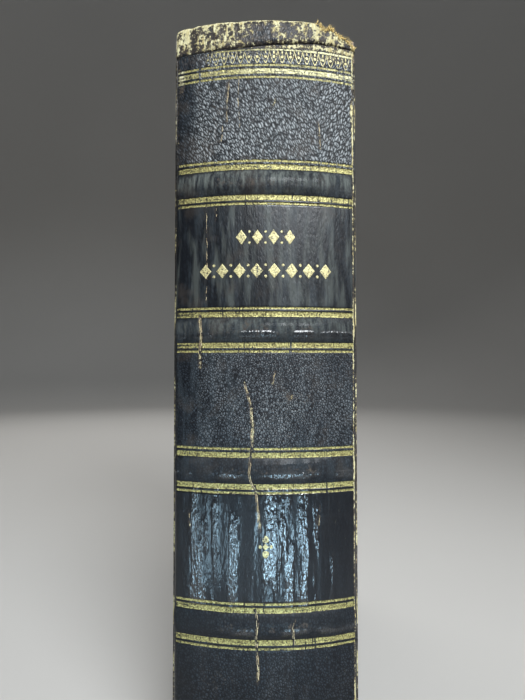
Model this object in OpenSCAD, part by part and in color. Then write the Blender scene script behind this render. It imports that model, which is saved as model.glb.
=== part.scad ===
// Antique half-leather book, standing on its tail edge with the spine towards -Y.
// X is the thickness, Y runs from the spine to the fore-edge, Z is the height.

/* [Overall] */
// Height of the covers
book_h = 256; // [240:1:300]
// Thickness of the closed book over both covers
book_t = 62.4; // [56:0.2:70]
// Width of a cover, from its joint to its fore-edge
cover_w = 167; // [140:1:200]

/* [Covers] */
// Thickness of the pulp board inside each cover
board_t = 3; // [2.4:0.1:3.4]
// Thickness of the leather on the covers
cover_leather_t = 0.8; // [0.6:0.05:1]
// Thickness of the cloth on the cover sides
cloth_t = 0.5; // [0.3:0.05:0.6]
// Thickness of the leather and cloth that is turned in behind the boards
turn_in_t = 0.4; // [0.3:0.05:0.5]
// Width of the turned-in edges
turn_in_w = 14; // [10:1:20]
// How far the covers stand out past the leaves
square = 3.5; // [2.5:0.1:5]
// How far the spine leather reaches over each board
strip_w = 38; // [25:1:50]
// Length of each leather corner along the edges of its board
corner_w = 40; // [25:1:50]
// Rounding of the board corners at the fore-edge
corner_r = 2.5; // [1:0.5:5]

/* [Paper] */
// Thickness of an endpaper
paper_t = 0.2; // [0.15:0.05:0.3]
// Air between a closed cover and the leaves
cover_gap = 0.3; // [0.2:0.05:0.5]

// Depth of the hollow in the fore-edge of the leaves
fore_hollow = 6; // [3:0.5:8]

/* [Spine] */
// Radius of the rounded spine over the leather
spine_r = 88; // [78:1:100]
// Depth of the spine, from the cover joints to the crown of the leather
spine_d = 11.2; // [10.6:0.1:13]
// Thickness of the leather on the spine
spine_leather_t = 1; // [0.8:0.1:1.2]
// How far the sides of the spine lie behind the faces of the covers
spine_inset = 1; // [0.6:0.1:1.2]
// Thickness of the card strip under the spine leather
card_t = 0.8; // [0.6:0.1:1]
// Depth of the hollow between the card and the lining
hollow_d = 1.2; // [1:0.1:1.5]
// Thickness of the woven lining on the sewn spine
lining_t = 0.3; // [0.2:0.05:0.4]
// Distance of the lining from the head and the tail of the leaves
lining_margin = 9; // [7:1:15]
// Softening of the spine edge, where the leather turns to the joint
edge_r = 2; // [1.5:0.1:2.5]

/* [Raised bands] */
// Width of a raised band over the leather
band_w = 7.6; // [6:0.1:8]
// Height of a raised band over the spine
band_h = 1.1; // [1:0.1:1.3]
// Rounding of a raised band
band_round = 0.9; // [0.6:0.1:0.9]
// How far the strip inside a band stops short of the spine's edges
core_end = 7; // [6:0.5:10]
// Height of the lowest band over the tail
tail_panel = 58.6; // [52:0.1:64]
// Depth of the highest band below the head
head_panel = 54; // [50:0.1:60]
// Share of the room between the outer bands that the middle panel takes
mid_share = 0.318; // [0.28:0.002:0.36]
// How far the middle panel sits above the middle of that room
mid_lift = 0.5; // [-2:0.1:2]

/* [Head and tail caps] */
// Height of a rolled leather cap
cap_h = 7; // [6:0.1:8]
// How far a cap stands out from the spine
cap_out = 0.8; // [0.5:0.1:1]
// Depth of the crease under a cap
crease_d = 0.45; // [0.3:0.05:0.6]
// Depth of the leather that is turned in at the head and the tail
cap_turn_in = 20; // [16:1:30]
// Thickness of that turned-in leather
cap_turn_in_t = 0.7; // [0.5:0.1:0.8]
// Width of the torn part of the head cap
tear_w = 13; // [8:0.5:16]
// Depth of the torn part at the joint
tear_d = 6.8; // [4:0.1:7.5]
// Diameter of the coloured bead of an endband
bead_d = 2.7; // [2.2:0.1:3]
// Depth of the cloth that carries an endband
endband_skirt = 7; // [5:0.5:8]

/* [Sewing] */
// Diameter of a sewing cord
cord_d = 2.2; // [1.6:0.1:2.6]
// Distance of the outer cords from the head and the tail of the leaves
cord_margin = 30; // [20:1:40]

/* [Gilding] */
// Thickness of the gilding on the leather
gilt_t = 0.12; // [0.08:0.02:0.2]
// Width of a fine rule
fine_w = 0.6; // [0.4:0.05:0.8]
// Width of a bold rule
bold_w = 1.6; // [1.2:0.1:1.8]
// Distance from a band's middle to its bold rules
bold_off = 5.05; // [4.8:0.05:5.5]
// Distance between neighbouring rules
rule_pitch = 2; // [1.8:0.05:2.3]
// Distance from the head or the tail to the bold rule there
edge_rule = 17; // [16:0.1:19]
// Height of the hanging loops of the borders, which meet in pointed arches
arch_h = 3.9; // [3.4:0.1:4.2]
// Distance between neighbouring loops
arch_pitch = 2.75; // [2.5:0.05:3.2]
// Width of the gilt line of a loop
arch_line = 0.3; // [0.25:0.05:0.4]
// Diameter of the pearl in each loop
pearl_d = 1; // [0.8:0.05:1.1]
// Air between the loops and the rules beside them
border_gap = 0.35; // [0.2:0.05:0.5]
// Height of a line of the title ornament
row_h = 5.2; // [3.6:0.1:5.6]
// Air between the lozenges of the title ornament
lozenge_gap = 1.7; // [1.4:0.1:2]
// Width of a lozenge in the upper line of the title ornament
upper_lozenge_w = 3.6; // [3:0.1:4]
// Width of a lozenge in the lower line
lower_lozenge_w = 4; // [3.4:0.1:4.4]
// How far the title ornament sits above the middle of its panel
title_lift = 0.6; // [-3:0.1:3]
// Distance between the two lines of the title ornament
title_pitch = 11; // [9:0.1:12]
// Width of the small fleuron
fleuron_w = 4.4; // [3:0.1:5.5]
// How far the small fleuron sits above the middle of its panel
fleuron_lift = 0.6; // [-3:0.1:3]

/* [Hidden] */
$fn = 96;
// Facets of the large circles in plan, and of the small ones
plan_fn = 256;
small_fn = 32;

leather_colour = "#2c2422";
gilt_colour = "#c8a84a";
cloth_colour = "#3a2c25";
board_colour = "#9a8664";
paper_colour = "#e4d6b2";
linen_colour = "#c9b98f";
card_colour = "#a08c68";
endband_colour = "#8c3b2e";

cords = 5;
// Clearance between a cover and what it closes against at its joint
joint_gap = 0.1;
// Glue line between curved layers, and the glair under the gilding
glue = 0.1;
glair = 0.02;
// How far the plan of the spine stands over the leather where its round corners begin
lip = 0.05;
// A reach past any face that a cut has to clear
past = 5;

// Places along Y
fore_y = (cover_w + spine_d + band_h) / 2;
joint_y = fore_y - cover_w;
arc_y = joint_y - spine_d + spine_r;

// Layers of a cover, outwards along X
face_x = book_t / 2;
board_x = face_x - cover_leather_t;
board_in_x = board_x - board_t;
turn_in_x = board_in_x - turn_in_t;
pastedown_x = turn_in_x - paper_t;
flyleaf_x = pastedown_x - cover_gap;
block_x = flyleaf_x - paper_t;

// Layers of the spine, as radii about the spine's axis
leather_in_r = spine_r - spine_leather_t;
card_r = leather_in_r - glue;
card_in_r = card_r - card_t;
lining_r = card_in_r - hollow_d;
lining_in_r = lining_r - lining_t;
block_r = lining_in_r - glue;
turned_r = card_in_r - glue;
turned_in_r = turned_r - cap_turn_in_t;

cord_r = block_r - cord_d / 2;

// Half widths of the spine's layers
side_x = face_x - spine_inset;
side_in_x = side_x - spine_leather_t;
shoulder_x = side_in_x - glue;
corner_x = side_x - edge_r;
corner_d = spine_r - edge_r + lip;
edge_angle = asin(corner_x / corner_d);
edge_x = spine_r * sin(edge_angle);
core_x = edge_x - core_end;
// Where the endpapers lie on the shoulders, and the radius of the hollow fore-edge
lap_y = joint_y - joint_gap - paper_t;
fore_r = (block_x * block_x + fore_hollow * fore_hollow) / (2 * fore_hollow);

// Heights
block_h = book_h - 2 * square;
card_end = cap_h - 1;
// Share of an endband's bead that stands over the edge of the leaves
bead_seat = 0.42;
mid_z = (tail_panel + book_h - head_panel) / 2 + mid_lift;
mid_panel = mid_share * (book_h - head_panel - tail_panel);
band_z = [tail_panel, mid_z - mid_panel / 2, mid_z + mid_panel / 2, book_h - head_panel];
title_z = (band_z[2] + band_z[3]) / 2 + title_lift;
fleuron_z = (band_z[0] + band_z[1]) / 2 + fleuron_lift;

// Sweeps a profile, drawn as radius and height, round the spine's axis as far as half width w at radius r.
module spine_sweep(w, r) {
    half = asin(w / r);
    translate([0, arc_y, 0])
        rotate([0, 0, -90 - half])
            rotate_extrude(angle = 2 * half) children();
}

// Lays a flat outline, drawn as distance along the spine and height, on the spine at angle a.
module on_spine(a = 0) {
    translate([0, arc_y, 0]) rotate([0, 0, a]) translate([0, -spine_r - glair, 0])
        rotate([90, 0, 0]) linear_extrude(gilt_t) children();
}

// Extrudes an outline, drawn as Y and Z, along X from x0 to x1.
module across(x0, x1) {
    translate([x0, 0, 0]) rotate([90, 0, 90]) linear_extrude(x1 - x0) children();
}

// A box from its lowest to its highest corner.
module box(low, high) {
    translate(low) cube(high - low);
}

function arc(x, y, r, a0, a1, n = 5) =
    [for (i = [0 : n]) let (a = a0 + (a1 - a0) * i / n) [x + r * cos(a), y + r * sin(a)]];

// The leaves: rounded and backed at the spine, hollow at the fore-edge.
module text_block() {
    color(paper_colour) difference() {
        translate([0, 0, square]) linear_extrude(block_h) block_section();
        for (i = [1 : cords]) spine_sweep(face_x, block_r) cord_kerf(cord_z(i));
    }
}

module block_section() {
    leaf_y = fore_y - square;
    intersection() {
        translate([0, arc_y]) circle(block_r, $fn = plan_fn);
        translate([-shoulder_x, joint_y - spine_d])
            square([2 * shoulder_x, lap_y - joint_y + spine_d]);
    }
    difference() {
        translate([-block_x, lap_y - joint_gap])
            square([2 * block_x, leaf_y - lap_y + joint_gap]);
        translate([0, leaf_y - fore_hollow + fore_r]) circle(fore_r, $fn = plan_fn);
    }
}

// A saw cut in the folds, wide enough for a cord.
module cord_kerf(z) {
    kerf_r = cord_d / 2 + glue / 2;
    translate([cord_r, z]) circle(kerf_r, $fn = small_fn);
    translate([cord_r, z - kerf_r]) square([cord_d, 2 * kerf_r]);
}

function cord_z(i) = square + cord_margin + (block_h - 2 * cord_margin) * (i - 1) / (cords - 1);

// A hemp cord, sunk in the folds of the leaves.
module sewing_cord(i) {
    color(linen_colour) spine_sweep(block_x, block_r)
        translate([cord_r, cord_z(i)]) circle(d = cord_d, $fn = small_fn);
}

// The free leaf of an endpaper, with its lap on the shoulder.
module flyleaf() {
    color(paper_colour) union() {
        box([block_x, lap_y, square], [flyleaf_x, fore_y - square, book_h - square]);
        box([block_x, lap_y, square], [shoulder_x, joint_y - joint_gap, book_h - square]);
    }
}

module spine_lining() {
    low = square + lining_margin;
    color(linen_colour) spine_sweep(shoulder_x - glue, lining_r)
        translate([lining_in_r, low]) square([lining_t, book_h - 2 * low]);
}

// An endband: a bead on the edge of the leaves, on the strip of cloth that is glued to the folds.
module endband() {
    edge_z = book_h - square;
    bead_z = edge_z + bead_d * bead_seat;
    color(endband_colour) spine_sweep(block_x, block_r) {
        difference() {
            translate([lining_r - bead_d / 2, bead_z]) circle(d = bead_d, $fn = small_fn);
            translate([lining_r - 2 * bead_d, edge_z - bead_d]) square([2 * bead_d, bead_d]);
        }
        translate([lining_in_r, edge_z - endband_skirt])
            square([lining_t, bead_z - edge_z + endband_skirt]);
    }
}

module spine_card() {
    color(card_colour) spine_sweep(shoulder_x, card_r)
        translate([card_in_r, card_end]) square([card_t, book_h - 2 * card_end]);
}

// The strip that makes a false band under the leather.
module band_core(i) {
    core_w = band_w - 2 * spine_leather_t - glue;
    color(card_colour) spine_sweep(core_x, card_r)
        translate([leather_in_r, band_z[i - 1] - core_w / 2]) square([band_h - glue / 2, core_w]);
}

// One raised band over the leather, from its tail side to its head side.
function band_outline(z) = let (r = spine_r + band_h - band_round, side = band_w / 2 - band_round) concat(
    [[spine_r, z - band_w / 2]],
    arc(r, z - side, band_round, -90, 0),
    arc(r, z + side, band_round, 0, 90),
    [[spine_r, z + band_w / 2]]
);

// A cap at the tail, from the crease over the roll to the end of the turned-in leather.
cap_shoulder = cap_out + crease_d;
cap_t = spine_r + cap_out - turned_in_r;
function cap_outline() = let (middle_r = turned_in_r + cap_t / 2) concat(
    [[spine_r, cap_h + crease_d]],
    arc(spine_r + cap_out - cap_shoulder, cap_h - cap_shoulder, cap_shoulder, 90, 0),
    arc(middle_r, cap_t / 2, cap_t / 2, 0, -180, 10),
    [[turned_in_r, cap_turn_in], [turned_r, cap_turn_in], [turned_r, card_end - glue],
     [leather_in_r, card_end - glue]]
);

function at_head(points) = [for (p = points) [p[0], book_h - p[1]]];
function reversed(points) = [for (i = [len(points) - 1 : -1 : 0]) points[i]];

// The section of the spine leather, as radius and height.
module leather_section() {
    polygon(concat(
        reversed(cap_outline()),
        [for (z = band_z) each band_outline(z)],
        at_head(cap_outline())
    ));
}

// The hollows under the false bands.
module band_hollows() {
    spine_sweep(core_x + glue, card_r)
        for (z = band_z) translate([leather_in_r - glue, z - band_w / 2 + spine_leather_t])
            square([band_h + glue, band_w - 2 * spine_leather_t]);
}

// Plan of the spine: round at its edges, and drawn in where the bands and caps die away towards the joints.
module spine_plan() {
    swell = max(band_h, cap_out) + glue;
    fade_x = (spine_r + lip) * sin(edge_angle);
    fade_d = spine_r + swell - (spine_r + lip) * cos(edge_angle);
    fade_r = (fade_x * fade_x + fade_d * fade_d) / (2 * fade_d);
    corner_y = arc_y - corner_d * cos(edge_angle);
    intersection() {
        translate([0, arc_y - spine_r - swell + fade_r]) circle(fade_r, $fn = plan_fn);
        translate([-edge_x, arc_y - spine_r - swell]) square([2 * edge_x, spine_d + swell - joint_gap]);
    }
    for (s = [-1, 1]) translate([s * corner_x, corner_y]) circle(edge_r, $fn = small_fn);
    translate([-side_x, corner_y]) square([2 * side_x, joint_y - joint_gap - corner_y]);
}

// What wear has taken from the head cap beside the front joint, in a view of the spine.
module head_wear() {
    translate([0, joint_y, 0]) rotate([90, 0, 0]) linear_extrude(2 * spine_d)
        translate([side_x, book_h]) polygon(concat(
            [[-tear_w, past]],
            [for (p = [[0.95, 0.2], [0.82, 0.4], [0.69, 0.3], [0.48, 0.48], [0.28, 0.68], [0.1, 1]])
                [-tear_w * p[0], -tear_d * p[1]]],
            [[past, -tear_d], [past, past]]
        ));
}

// The covering of the spine, with its caps, its false bands and the walls that turn back to the joints.
module spine_leather() {
    wall_y = arc_y - sqrt(pow(spine_r - spine_leather_t / 2, 2) - side_x * side_x);
    color(leather_colour) difference() {
        intersection() {
            union() {
                spine_sweep(side_x, turned_in_r) leather_section();
                for (x = [-side_x, side_in_x])
                    translate([x, wall_y, 0]) cube([spine_leather_t, joint_y - wall_y, book_h]);
            }
            linear_extrude(book_h) spine_plan();
        }
        band_hollows();
        head_wear();
    }
}

// The rules beside the bands and the two borders, laid on the leather.
module gilt_rules() {
    color(gilt_colour) spine_sweep(edge_x, spine_r) {
        for (z = band_z, s = [-1, 1]) {
            rule(z + s * bold_off, bold_w);
            rule(z + s * (bold_off + rule_pitch), fine_w);
        }
        for (z = [edge_rule, book_h - edge_rule]) {
            rule(z, bold_w);
            for (s = [-1, 1]) rule(z + s * rule_pitch, fine_w);
        }
    }
}

module rule(z, w) {
    translate([spine_r + glair, z - w / 2]) square([gilt_t, w]);
}

// A loop of the borders: round at its foot, with two ends that run up to meet its neighbours.
module loop() {
    difference() {
        loop_shape(glue / 2, 0);
        loop_shape(glue / 2 + arch_line, glue);
    }
}

// The outline of a loop, drawn in by the inset and carried up past its ends.
module loop_shape(inset, over) {
    half = arch_pitch / 2 - inset;
    foot_z = arch_pitch * 0.3;
    foot_r = foot_z - inset;
    translate([0, foot_z]) circle(foot_r, $fn = small_fn);
    polygon([
        [-foot_r * 0.94, foot_z], [foot_r * 0.94, foot_z],
        [half, arch_h + over], [-half, arch_h + over]
    ]);
}

// What hangs in a loop: a pearl, and over it a drop that points down from the rule above.
module pendant() {
    translate([0, arch_h * 0.5]) circle(d = pearl_d, $fn = small_fn);
    translate([0, arch_h * 0.72])
        polygon([[0, 0], [pearl_d * 0.3, arch_h * 0.12], [0, arch_h * 0.26], [-pearl_d * 0.3, arch_h * 0.12]]);
}

// The border beside the tail cap, from one edge of the spine to the other.
arch_angle = 2 * atan(arch_pitch / 2 / spine_r);
arches = floor(edge_angle / arch_angle - 0.5);
border_z = edge_rule - rule_pitch - fine_w / 2 - border_gap;
module border() {
    color(gilt_colour) {
        translate([0, 0, border_z]) mirror([0, 0, 1]) {
            for (i = [-arches : arches]) on_spine(i * arch_angle) {
                loop();
                pendant();
            }
        }
        spine_sweep(edge_x, spine_r) rule(border_z - arch_h - border_gap - fine_w / 2, fine_w);
    }
}

// A row of lozenges with a pearl between each two, centred at the height z.
module lozenge_row(count, w, h, z) {
    step = 2 * atan((w + lozenge_gap) / 2 / spine_r);
    for (i = [0 : count - 1]) {
        a = (i - (count - 1) / 2) * step;
        on_spine(a) translate([0, z]) lozenge(w, h);
        if (i < count - 1)
            on_spine(a + step / 2) for (s = [-1, 1])
                translate([0, z + s * h * 0.35]) circle(d = w / 4, $fn = small_fn);
    }
}

module lozenge(w, h) {
    polygon([[-w / 2, 0], [0, -h / 2], [w / 2, 0], [0, h / 2]]);
}

module gilt_title_ornament() {
    color(gilt_colour) {
        lozenge_row(4, upper_lozenge_w, row_h, title_z + title_pitch / 2);
        lozenge_row(8, lower_lozenge_w, row_h, title_z - title_pitch / 2);
    }
}

// A small fleuron: a lozenge between four petals.
module gilt_fleuron() {
    color(gilt_colour) on_spine() translate([0, fleuron_z]) {
        lozenge(fleuron_w / 2, fleuron_w / 2);
        for (a = [0, 180]) rotate(a) {
            translate([0, fleuron_w * 0.55]) circle(d = fleuron_w * 0.55, $fn = small_fn);
            translate([fleuron_w * 0.4, 0]) circle(d = fleuron_w * 0.25, $fn = small_fn);
        }
    }
}

// A board in its plane, drawn as Y and Z, grown by the thickness of what covers its edges.
module board_outline(grow = 0) {
    low_y = joint_y + cover_leather_t - grow;
    high_y = fore_y - cover_leather_t + grow;
    low_z = cover_leather_t - grow;
    r = corner_r + grow;
    translate([low_y, low_z]) square([high_y - low_y - r, book_h - 2 * low_z]);
    translate([low_y, low_z + r]) square([high_y - low_y, book_h - 2 * low_z - 2 * r]);
    for (z = [low_z + r, book_h - low_z - r]) translate([high_y - r, z]) circle(r, $fn = small_fn * 2);
}

module board() {
    color(board_colour) across(board_in_x, board_x) board_outline();
}

// What a covering of thickness t takes up round a whole board, with its edges turned in.
module wrap(t) {
    difference() {
        across(turn_in_x, board_x + t) board_outline(t);
        across(board_in_x, board_x) board_outline();
        across(turn_in_x - past, board_in_x) turn_in_window();
    }
}

module turn_in_window(inset = 0) {
    translate([joint_y - past, turn_in_w + inset])
        square([fore_y - joint_y + past - turn_in_w - inset, book_h - 2 * (turn_in_w + inset)]);
}

module strip_region() {
    translate([joint_y - past, -past]) square([strip_w + past, book_h + 2 * past]);
}

module head_corner_region() {
    polygon([
        [fore_y - corner_w - past, book_h + past], [fore_y + past, book_h - corner_w - past],
        [fore_y + past, book_h + past]
    ]);
}

module tail_corner_region() {
    translate([0, book_h]) mirror([0, 1]) head_corner_region();
}

// The leather of the spine where it reaches over a board.
module cover_leather() {
    color(leather_colour) intersection() {
        wrap(cover_leather_t);
        across(0, book_t) strip_region();
    }
}

module head_corner() {
    color(leather_colour) intersection() {
        wrap(cover_leather_t);
        across(0, book_t) head_corner_region();
    }
}

module tail_corner() {
    color(leather_colour) intersection() {
        wrap(cover_leather_t);
        across(0, book_t) tail_corner_region();
    }
}

module cover_cloth() {
    color(cloth_colour) difference() {
        wrap(cloth_t);
        across(0, book_t) {
            strip_region();
            head_corner_region();
            tail_corner_region();
        }
    }
}

// The leaf that lines a cover. It sinks to the board between the turned-in edges.
module pastedown() {
    color(paper_colour) difference() {
        across(pastedown_x, board_in_x) translate([joint_y, square])
            square([cover_w - square, book_h - 2 * square]);
        difference() {
            across(turn_in_x, board_x) translate([joint_y - past, 0]) square([cover_w + 2 * past, book_h]);
            across(0, book_t) turn_in_window();
        }
        across(0, board_in_x - paper_t) turn_in_window(paper_t);
    }
}

text_block();
flyleaf();  // front_flyleaf
mirror([1, 0, 0]) flyleaf();  // back_flyleaf
for (i = [1 : cords]) sewing_cord(i);
spine_lining();
endband();  // head_endband
translate([0, 0, book_h]) mirror([0, 0, 1]) endband();  // tail_endband
spine_card();
for (i = [1 : len(band_z)]) band_core(i);
spine_leather();
gilt_rules();
translate([0, 0, book_h]) mirror([0, 0, 1]) border();  // gilt_head_border
border();  // gilt_tail_border
gilt_title_ornament();
gilt_fleuron();
board();  // front_board
cover_leather();  // front_leather
head_corner();  // front_head_corner
tail_corner();  // front_tail_corner
cover_cloth();  // front_cloth
pastedown();  // front_pastedown
mirror([1, 0, 0]) board();  // back_board
mirror([1, 0, 0]) cover_leather();  // back_leather
mirror([1, 0, 0]) head_corner();  // back_head_corner
mirror([1, 0, 0]) tail_corner();  // back_tail_corner
mirror([1, 0, 0]) cover_cloth();  // back_cloth
mirror([1, 0, 0]) pastedown();  // back_pastedown
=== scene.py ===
"""An upright antique book in half leather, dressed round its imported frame."""

from __future__ import annotations

import logging
import math
from dataclasses import dataclass
from enum import Enum
from typing import Any, Sequence

import bpy
import numpy as np
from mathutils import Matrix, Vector
from mathutils.bvhtree import BVHTree

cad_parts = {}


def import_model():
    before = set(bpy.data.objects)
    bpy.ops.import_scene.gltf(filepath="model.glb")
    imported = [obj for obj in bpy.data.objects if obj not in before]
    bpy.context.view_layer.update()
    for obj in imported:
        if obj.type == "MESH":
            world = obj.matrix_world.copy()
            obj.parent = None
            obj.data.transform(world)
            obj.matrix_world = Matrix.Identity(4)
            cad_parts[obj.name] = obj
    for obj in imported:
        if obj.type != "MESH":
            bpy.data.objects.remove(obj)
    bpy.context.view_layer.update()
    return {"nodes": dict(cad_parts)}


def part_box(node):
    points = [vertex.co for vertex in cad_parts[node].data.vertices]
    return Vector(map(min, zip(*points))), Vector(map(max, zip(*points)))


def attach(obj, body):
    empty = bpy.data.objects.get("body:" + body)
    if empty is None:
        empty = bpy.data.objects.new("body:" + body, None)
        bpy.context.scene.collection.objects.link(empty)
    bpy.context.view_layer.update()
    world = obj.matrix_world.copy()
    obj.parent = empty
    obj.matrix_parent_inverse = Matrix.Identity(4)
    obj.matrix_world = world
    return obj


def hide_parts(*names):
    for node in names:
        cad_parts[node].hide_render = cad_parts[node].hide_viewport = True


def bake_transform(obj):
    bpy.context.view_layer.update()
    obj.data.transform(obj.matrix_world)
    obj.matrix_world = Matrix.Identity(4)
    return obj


log = logging.getLogger("book")

MM = 0.001
Colour = tuple[float, float, float]
Place = tuple[float, float, float]
Point = tuple[float, float]
Grid = np.ndarray
Piece = bpy.types.Object
Tree = bpy.types.NodeTree
Material = bpy.types.Material
Socket = bpy.types.NodeSocket


class Body(str, Enum):
    """The bodies of the frame that pieces ride on."""

    BLOCK = "book_block"
    FRONT = "front_cover"
    BACK = "back_cover"


def smooth_step(low: float, high: float, x: Grid) -> Grid:
    """Returns 0 below low, 1 above high and a smooth rise between them."""
    t = np.clip((x - low) / (high - low), 0.0, 1.0)
    return t * t * (3 - 2 * t)


def hump(x: Grid, middle: float, width: float) -> Grid:
    """Returns 1 at the middle and a smooth fall to both sides, over about the width."""
    return np.exp(-(((x - middle) / width) ** 2))


class Mottle:
    """Smooth random heights over a plane, the same on every run."""

    def __init__(self, seed: int, cells: int = 256) -> None:
        """Draws the lattice.

        Args:
            seed: the fixed seed of the draw.
            cells: the number of lattice cells before the pattern repeats.
        """
        self.cells = cells
        self.lattice = np.random.default_rng(seed).random((cells, cells))

    def at(self, x: Grid, y: Grid) -> Grid:
        """Looks up the random heights.

        Args:
            x: places along the first axis, in lattice cells.
            y: places along the second axis, in lattice cells.

        Returns:
            Heights from 0 to 1.
        """
        ix, iy = np.floor(x).astype(int), np.floor(y).astype(int)
        fx, fy = x - ix, y - iy
        fx, fy = fx * fx * (3 - 2 * fx), fy * fy * (3 - 2 * fy)
        x0, x1 = ix % self.cells, (ix + 1) % self.cells
        y0, y1 = iy % self.cells, (iy + 1) % self.cells
        low = self.lattice[x0, y0] * (1 - fx) + self.lattice[x1, y0] * fx
        high = self.lattice[x0, y1] * (1 - fx) + self.lattice[x1, y1] * fx
        return low * (1 - fy) + high * fy

    def layered(self, x: Grid, y: Grid, layers: int = 3) -> Grid:
        """Adds up layers of heights, each half the size of the last.

        Args:
            x: places along the first axis, in lattice cells.
            y: places along the second axis, in lattice cells.
            layers: how many layers are added.

        Returns:
            Heights from 0 to 1.
        """
        total, weight, size = np.zeros_like(x, dtype=float), 0.0, 1.0
        for layer in range(layers):
            total += size * self.at(x * 2**layer + 17 * layer, y * 2**layer + 31 * layer)
            weight += size
            size *= 0.5
        return total / weight


@dataclass(frozen=True)
class BookSizes:
    """The sizes of the book in millimetres, as its source states them."""

    height: float
    face_x: float
    joint_y: float
    spine_r: float = 88.0
    spine_depth: float = 11.2
    leather: float = 1.0
    inset: float = 1.0
    edge_r: float = 2.0
    cap_h: float = 7.0
    cap_out: float = 0.8
    crease: float = 0.45
    cap_thick: float = 3.5
    turned_in: float = 20.0
    turned_leather: float = 0.7
    card_end: float = 5.9
    band_h: float = 1.1
    band_half: float = 4.1
    bands: tuple[float, ...] = (58.6, 108.0, 153.6, 202.0)
    bold_off: float = 5.05
    rule_pitch: float = 2.0
    bold: float = 1.6
    fine: float = 0.6
    edge_rule: float = 17.0
    arch_h: float = 3.9
    arch_pitch: float = 2.75
    border_gap: float = 0.35
    square: float = 3.5

    @classmethod
    def of_frame(cls) -> "BookSizes":
        """Returns the sizes, with the overall ones read from the frame."""
        low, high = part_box("front_leather")
        return cls(height=high[2] / MM, face_x=high[0] / MM, joint_y=low[1] / MM)

    @property
    def side_x(self) -> float:
        """Half width of the spine over its leather."""
        return self.face_x - self.inset

    @property
    def axis_y(self) -> float:
        """Place of the spine's axis along Y."""
        return self.joint_y - self.spine_depth + self.spine_r

    @property
    def panels(self) -> list[Point]:
        """Lowest and highest place of each panel between the bands, from the tail up."""
        edges = [self.cap_h, *self.bands, self.height - self.cap_h]
        return list(zip(edges[:-1], edges[1:]))

    def rules(self) -> list[Point]:
        """Lists the gilt rules.

        Returns:
            The middle and the width of each, in millimetres.
        """
        found = []
        for z in self.bands:
            for side in (-1, 1):
                found.append((z + side * self.bold_off, self.bold))
                found.append((z + side * (self.bold_off + self.rule_pitch), self.fine))
        for z in (self.edge_rule, self.height - self.edge_rule):
            found += [(z, self.bold), (z - self.rule_pitch, self.fine), (z + self.rule_pitch, self.fine)]
        border = self.edge_rule - self.rule_pitch - self.fine / 2 - 2 * self.border_gap - self.arch_h
        border -= self.fine / 2
        return sorted(found + [(border, self.fine), (self.height - border, self.fine)])


@dataclass(frozen=True)
class Crack:
    """A crack or a long scratch in the spine leather, drawn down its length."""

    points: tuple[Point, ...]
    width: float
    depth: float
    rub: float


CRACKS = (
    Crack(((-12.1, 236), (-12.8, 229), (-13.0, 222)), 0.9, 0.10, 0.55),
    Crack(((-14.2, 222), (-14.7, 215.5)), 0.8, 0.08, 0.45),
    Crack(((-8.8, 238), (-9.3, 228), (-8.6, 219)), 0.6, 0.05, 0.30),
    Crack(((17.5, 223), (18.1, 214)), 0.7, 0.10, 0.60),
    Crack(((3.6, 230.4), (2.6, 227.5)), 0.5, 0.08, 0.70),
    Crack(((-19.7, 195), (-19.5, 178), (-19.7, 161.5)), 0.5, 0.06, 0.42),
    Crack(((-16.4, 194), (-16.6, 189)), 0.5, 0.05, 0.40),
    Crack(((-21.7, 158.6), (-21.0, 152.0), (-21.8, 146.5), (-21.4, 141.5)), 0.8, 0.25, 0.75),
    Crack(((-6.9, 136.5), (-5.6, 132.0), (-4.7, 128.6)), 0.6, 0.15, 0.75),
    Crack(((-4.7, 128.6), (-4.2, 122.0), (-4.4, 115.0)), 0.8, 0.20, 0.80),
    Crack(((2.9, 140.2), (2.3, 135.8)), 0.5, 0.10, 0.70),
    Crack(((-4.7, 115.0), (-5.2, 108.0), (-4.9, 104.6), (-3.1, 101.5)), 0.7, 0.35, 0.60),
    Crack(((-3.1, 101.5), (-2.4, 95.8), (-2.0, 89.0)), 0.8, 0.15, 0.70),
    Crack(((-25.1, 94.2), (-25.0, 89.2)), 0.6, 0.05, 0.65),
    Crack(((17.6, 96.5), (17.2, 89.8)), 0.6, 0.10, 0.55),
    Crack(((-3.4, 64.0), (-2.4, 60.0), (-3.1, 55.4), (-2.6, 50.8)), 0.6, 0.35, 0.62),
    Crack(((9.4, 61.0), (8.8, 57.5), (9.2, 52.2)), 0.5, 0.30, 0.55),
    Crack(((-2.8, 51.0), (-2.3, 46.0), (-2.5, 40.8)), 0.7, 0.20, 0.72),
    Crack(((-2.5, 34.0), (-2.2, 24.0), (-2.7, 18.0)), 0.5, 0.18, 0.60),
)


@dataclass(frozen=True)
class Scuff:
    """A rubbed patch of the spine leather: its middle, its half sizes and how far it is rubbed."""

    x: float
    z: float
    half_x: float
    half_z: float
    rub: float


SCUFFS = (
    Scuff(-15.5, 226, 4.5, 16, 0.30),
    Scuff(-19.0, 215, 4.5, 7, 0.32),
    Scuff(16.5, 234, 3.5, 5, 0.30),
    Scuff(-28.4, 237, 1.5, 9, 0.52),
    Scuff(29.2, 227.5, 0.9, 6, 0.85),
    Scuff(7.9, 131.8, 2.0, 1.6, 0.62),
    Scuff(13.0, 131.0, 6.0, 3.0, 0.28),
    Scuff(-6.0, 155.0, 2.5, 3.0, 0.40),
    Scuff(14.6, 153.5, 2.5, 3.0, 0.38),
    Scuff(3.6, 119.0, 9.0, 3.0, 0.26),
    Scuff(-16.0, 42.0, 8.0, 7.0, 0.27),
    Scuff(-22.0, 206.0, 6.0, 2.0, 0.30),
)


@dataclass(frozen=True)
class PolishStreak:
    """A streak of polish down the spine: its middle, its half width and its strength."""

    x: float
    half: float
    strength: float


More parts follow.
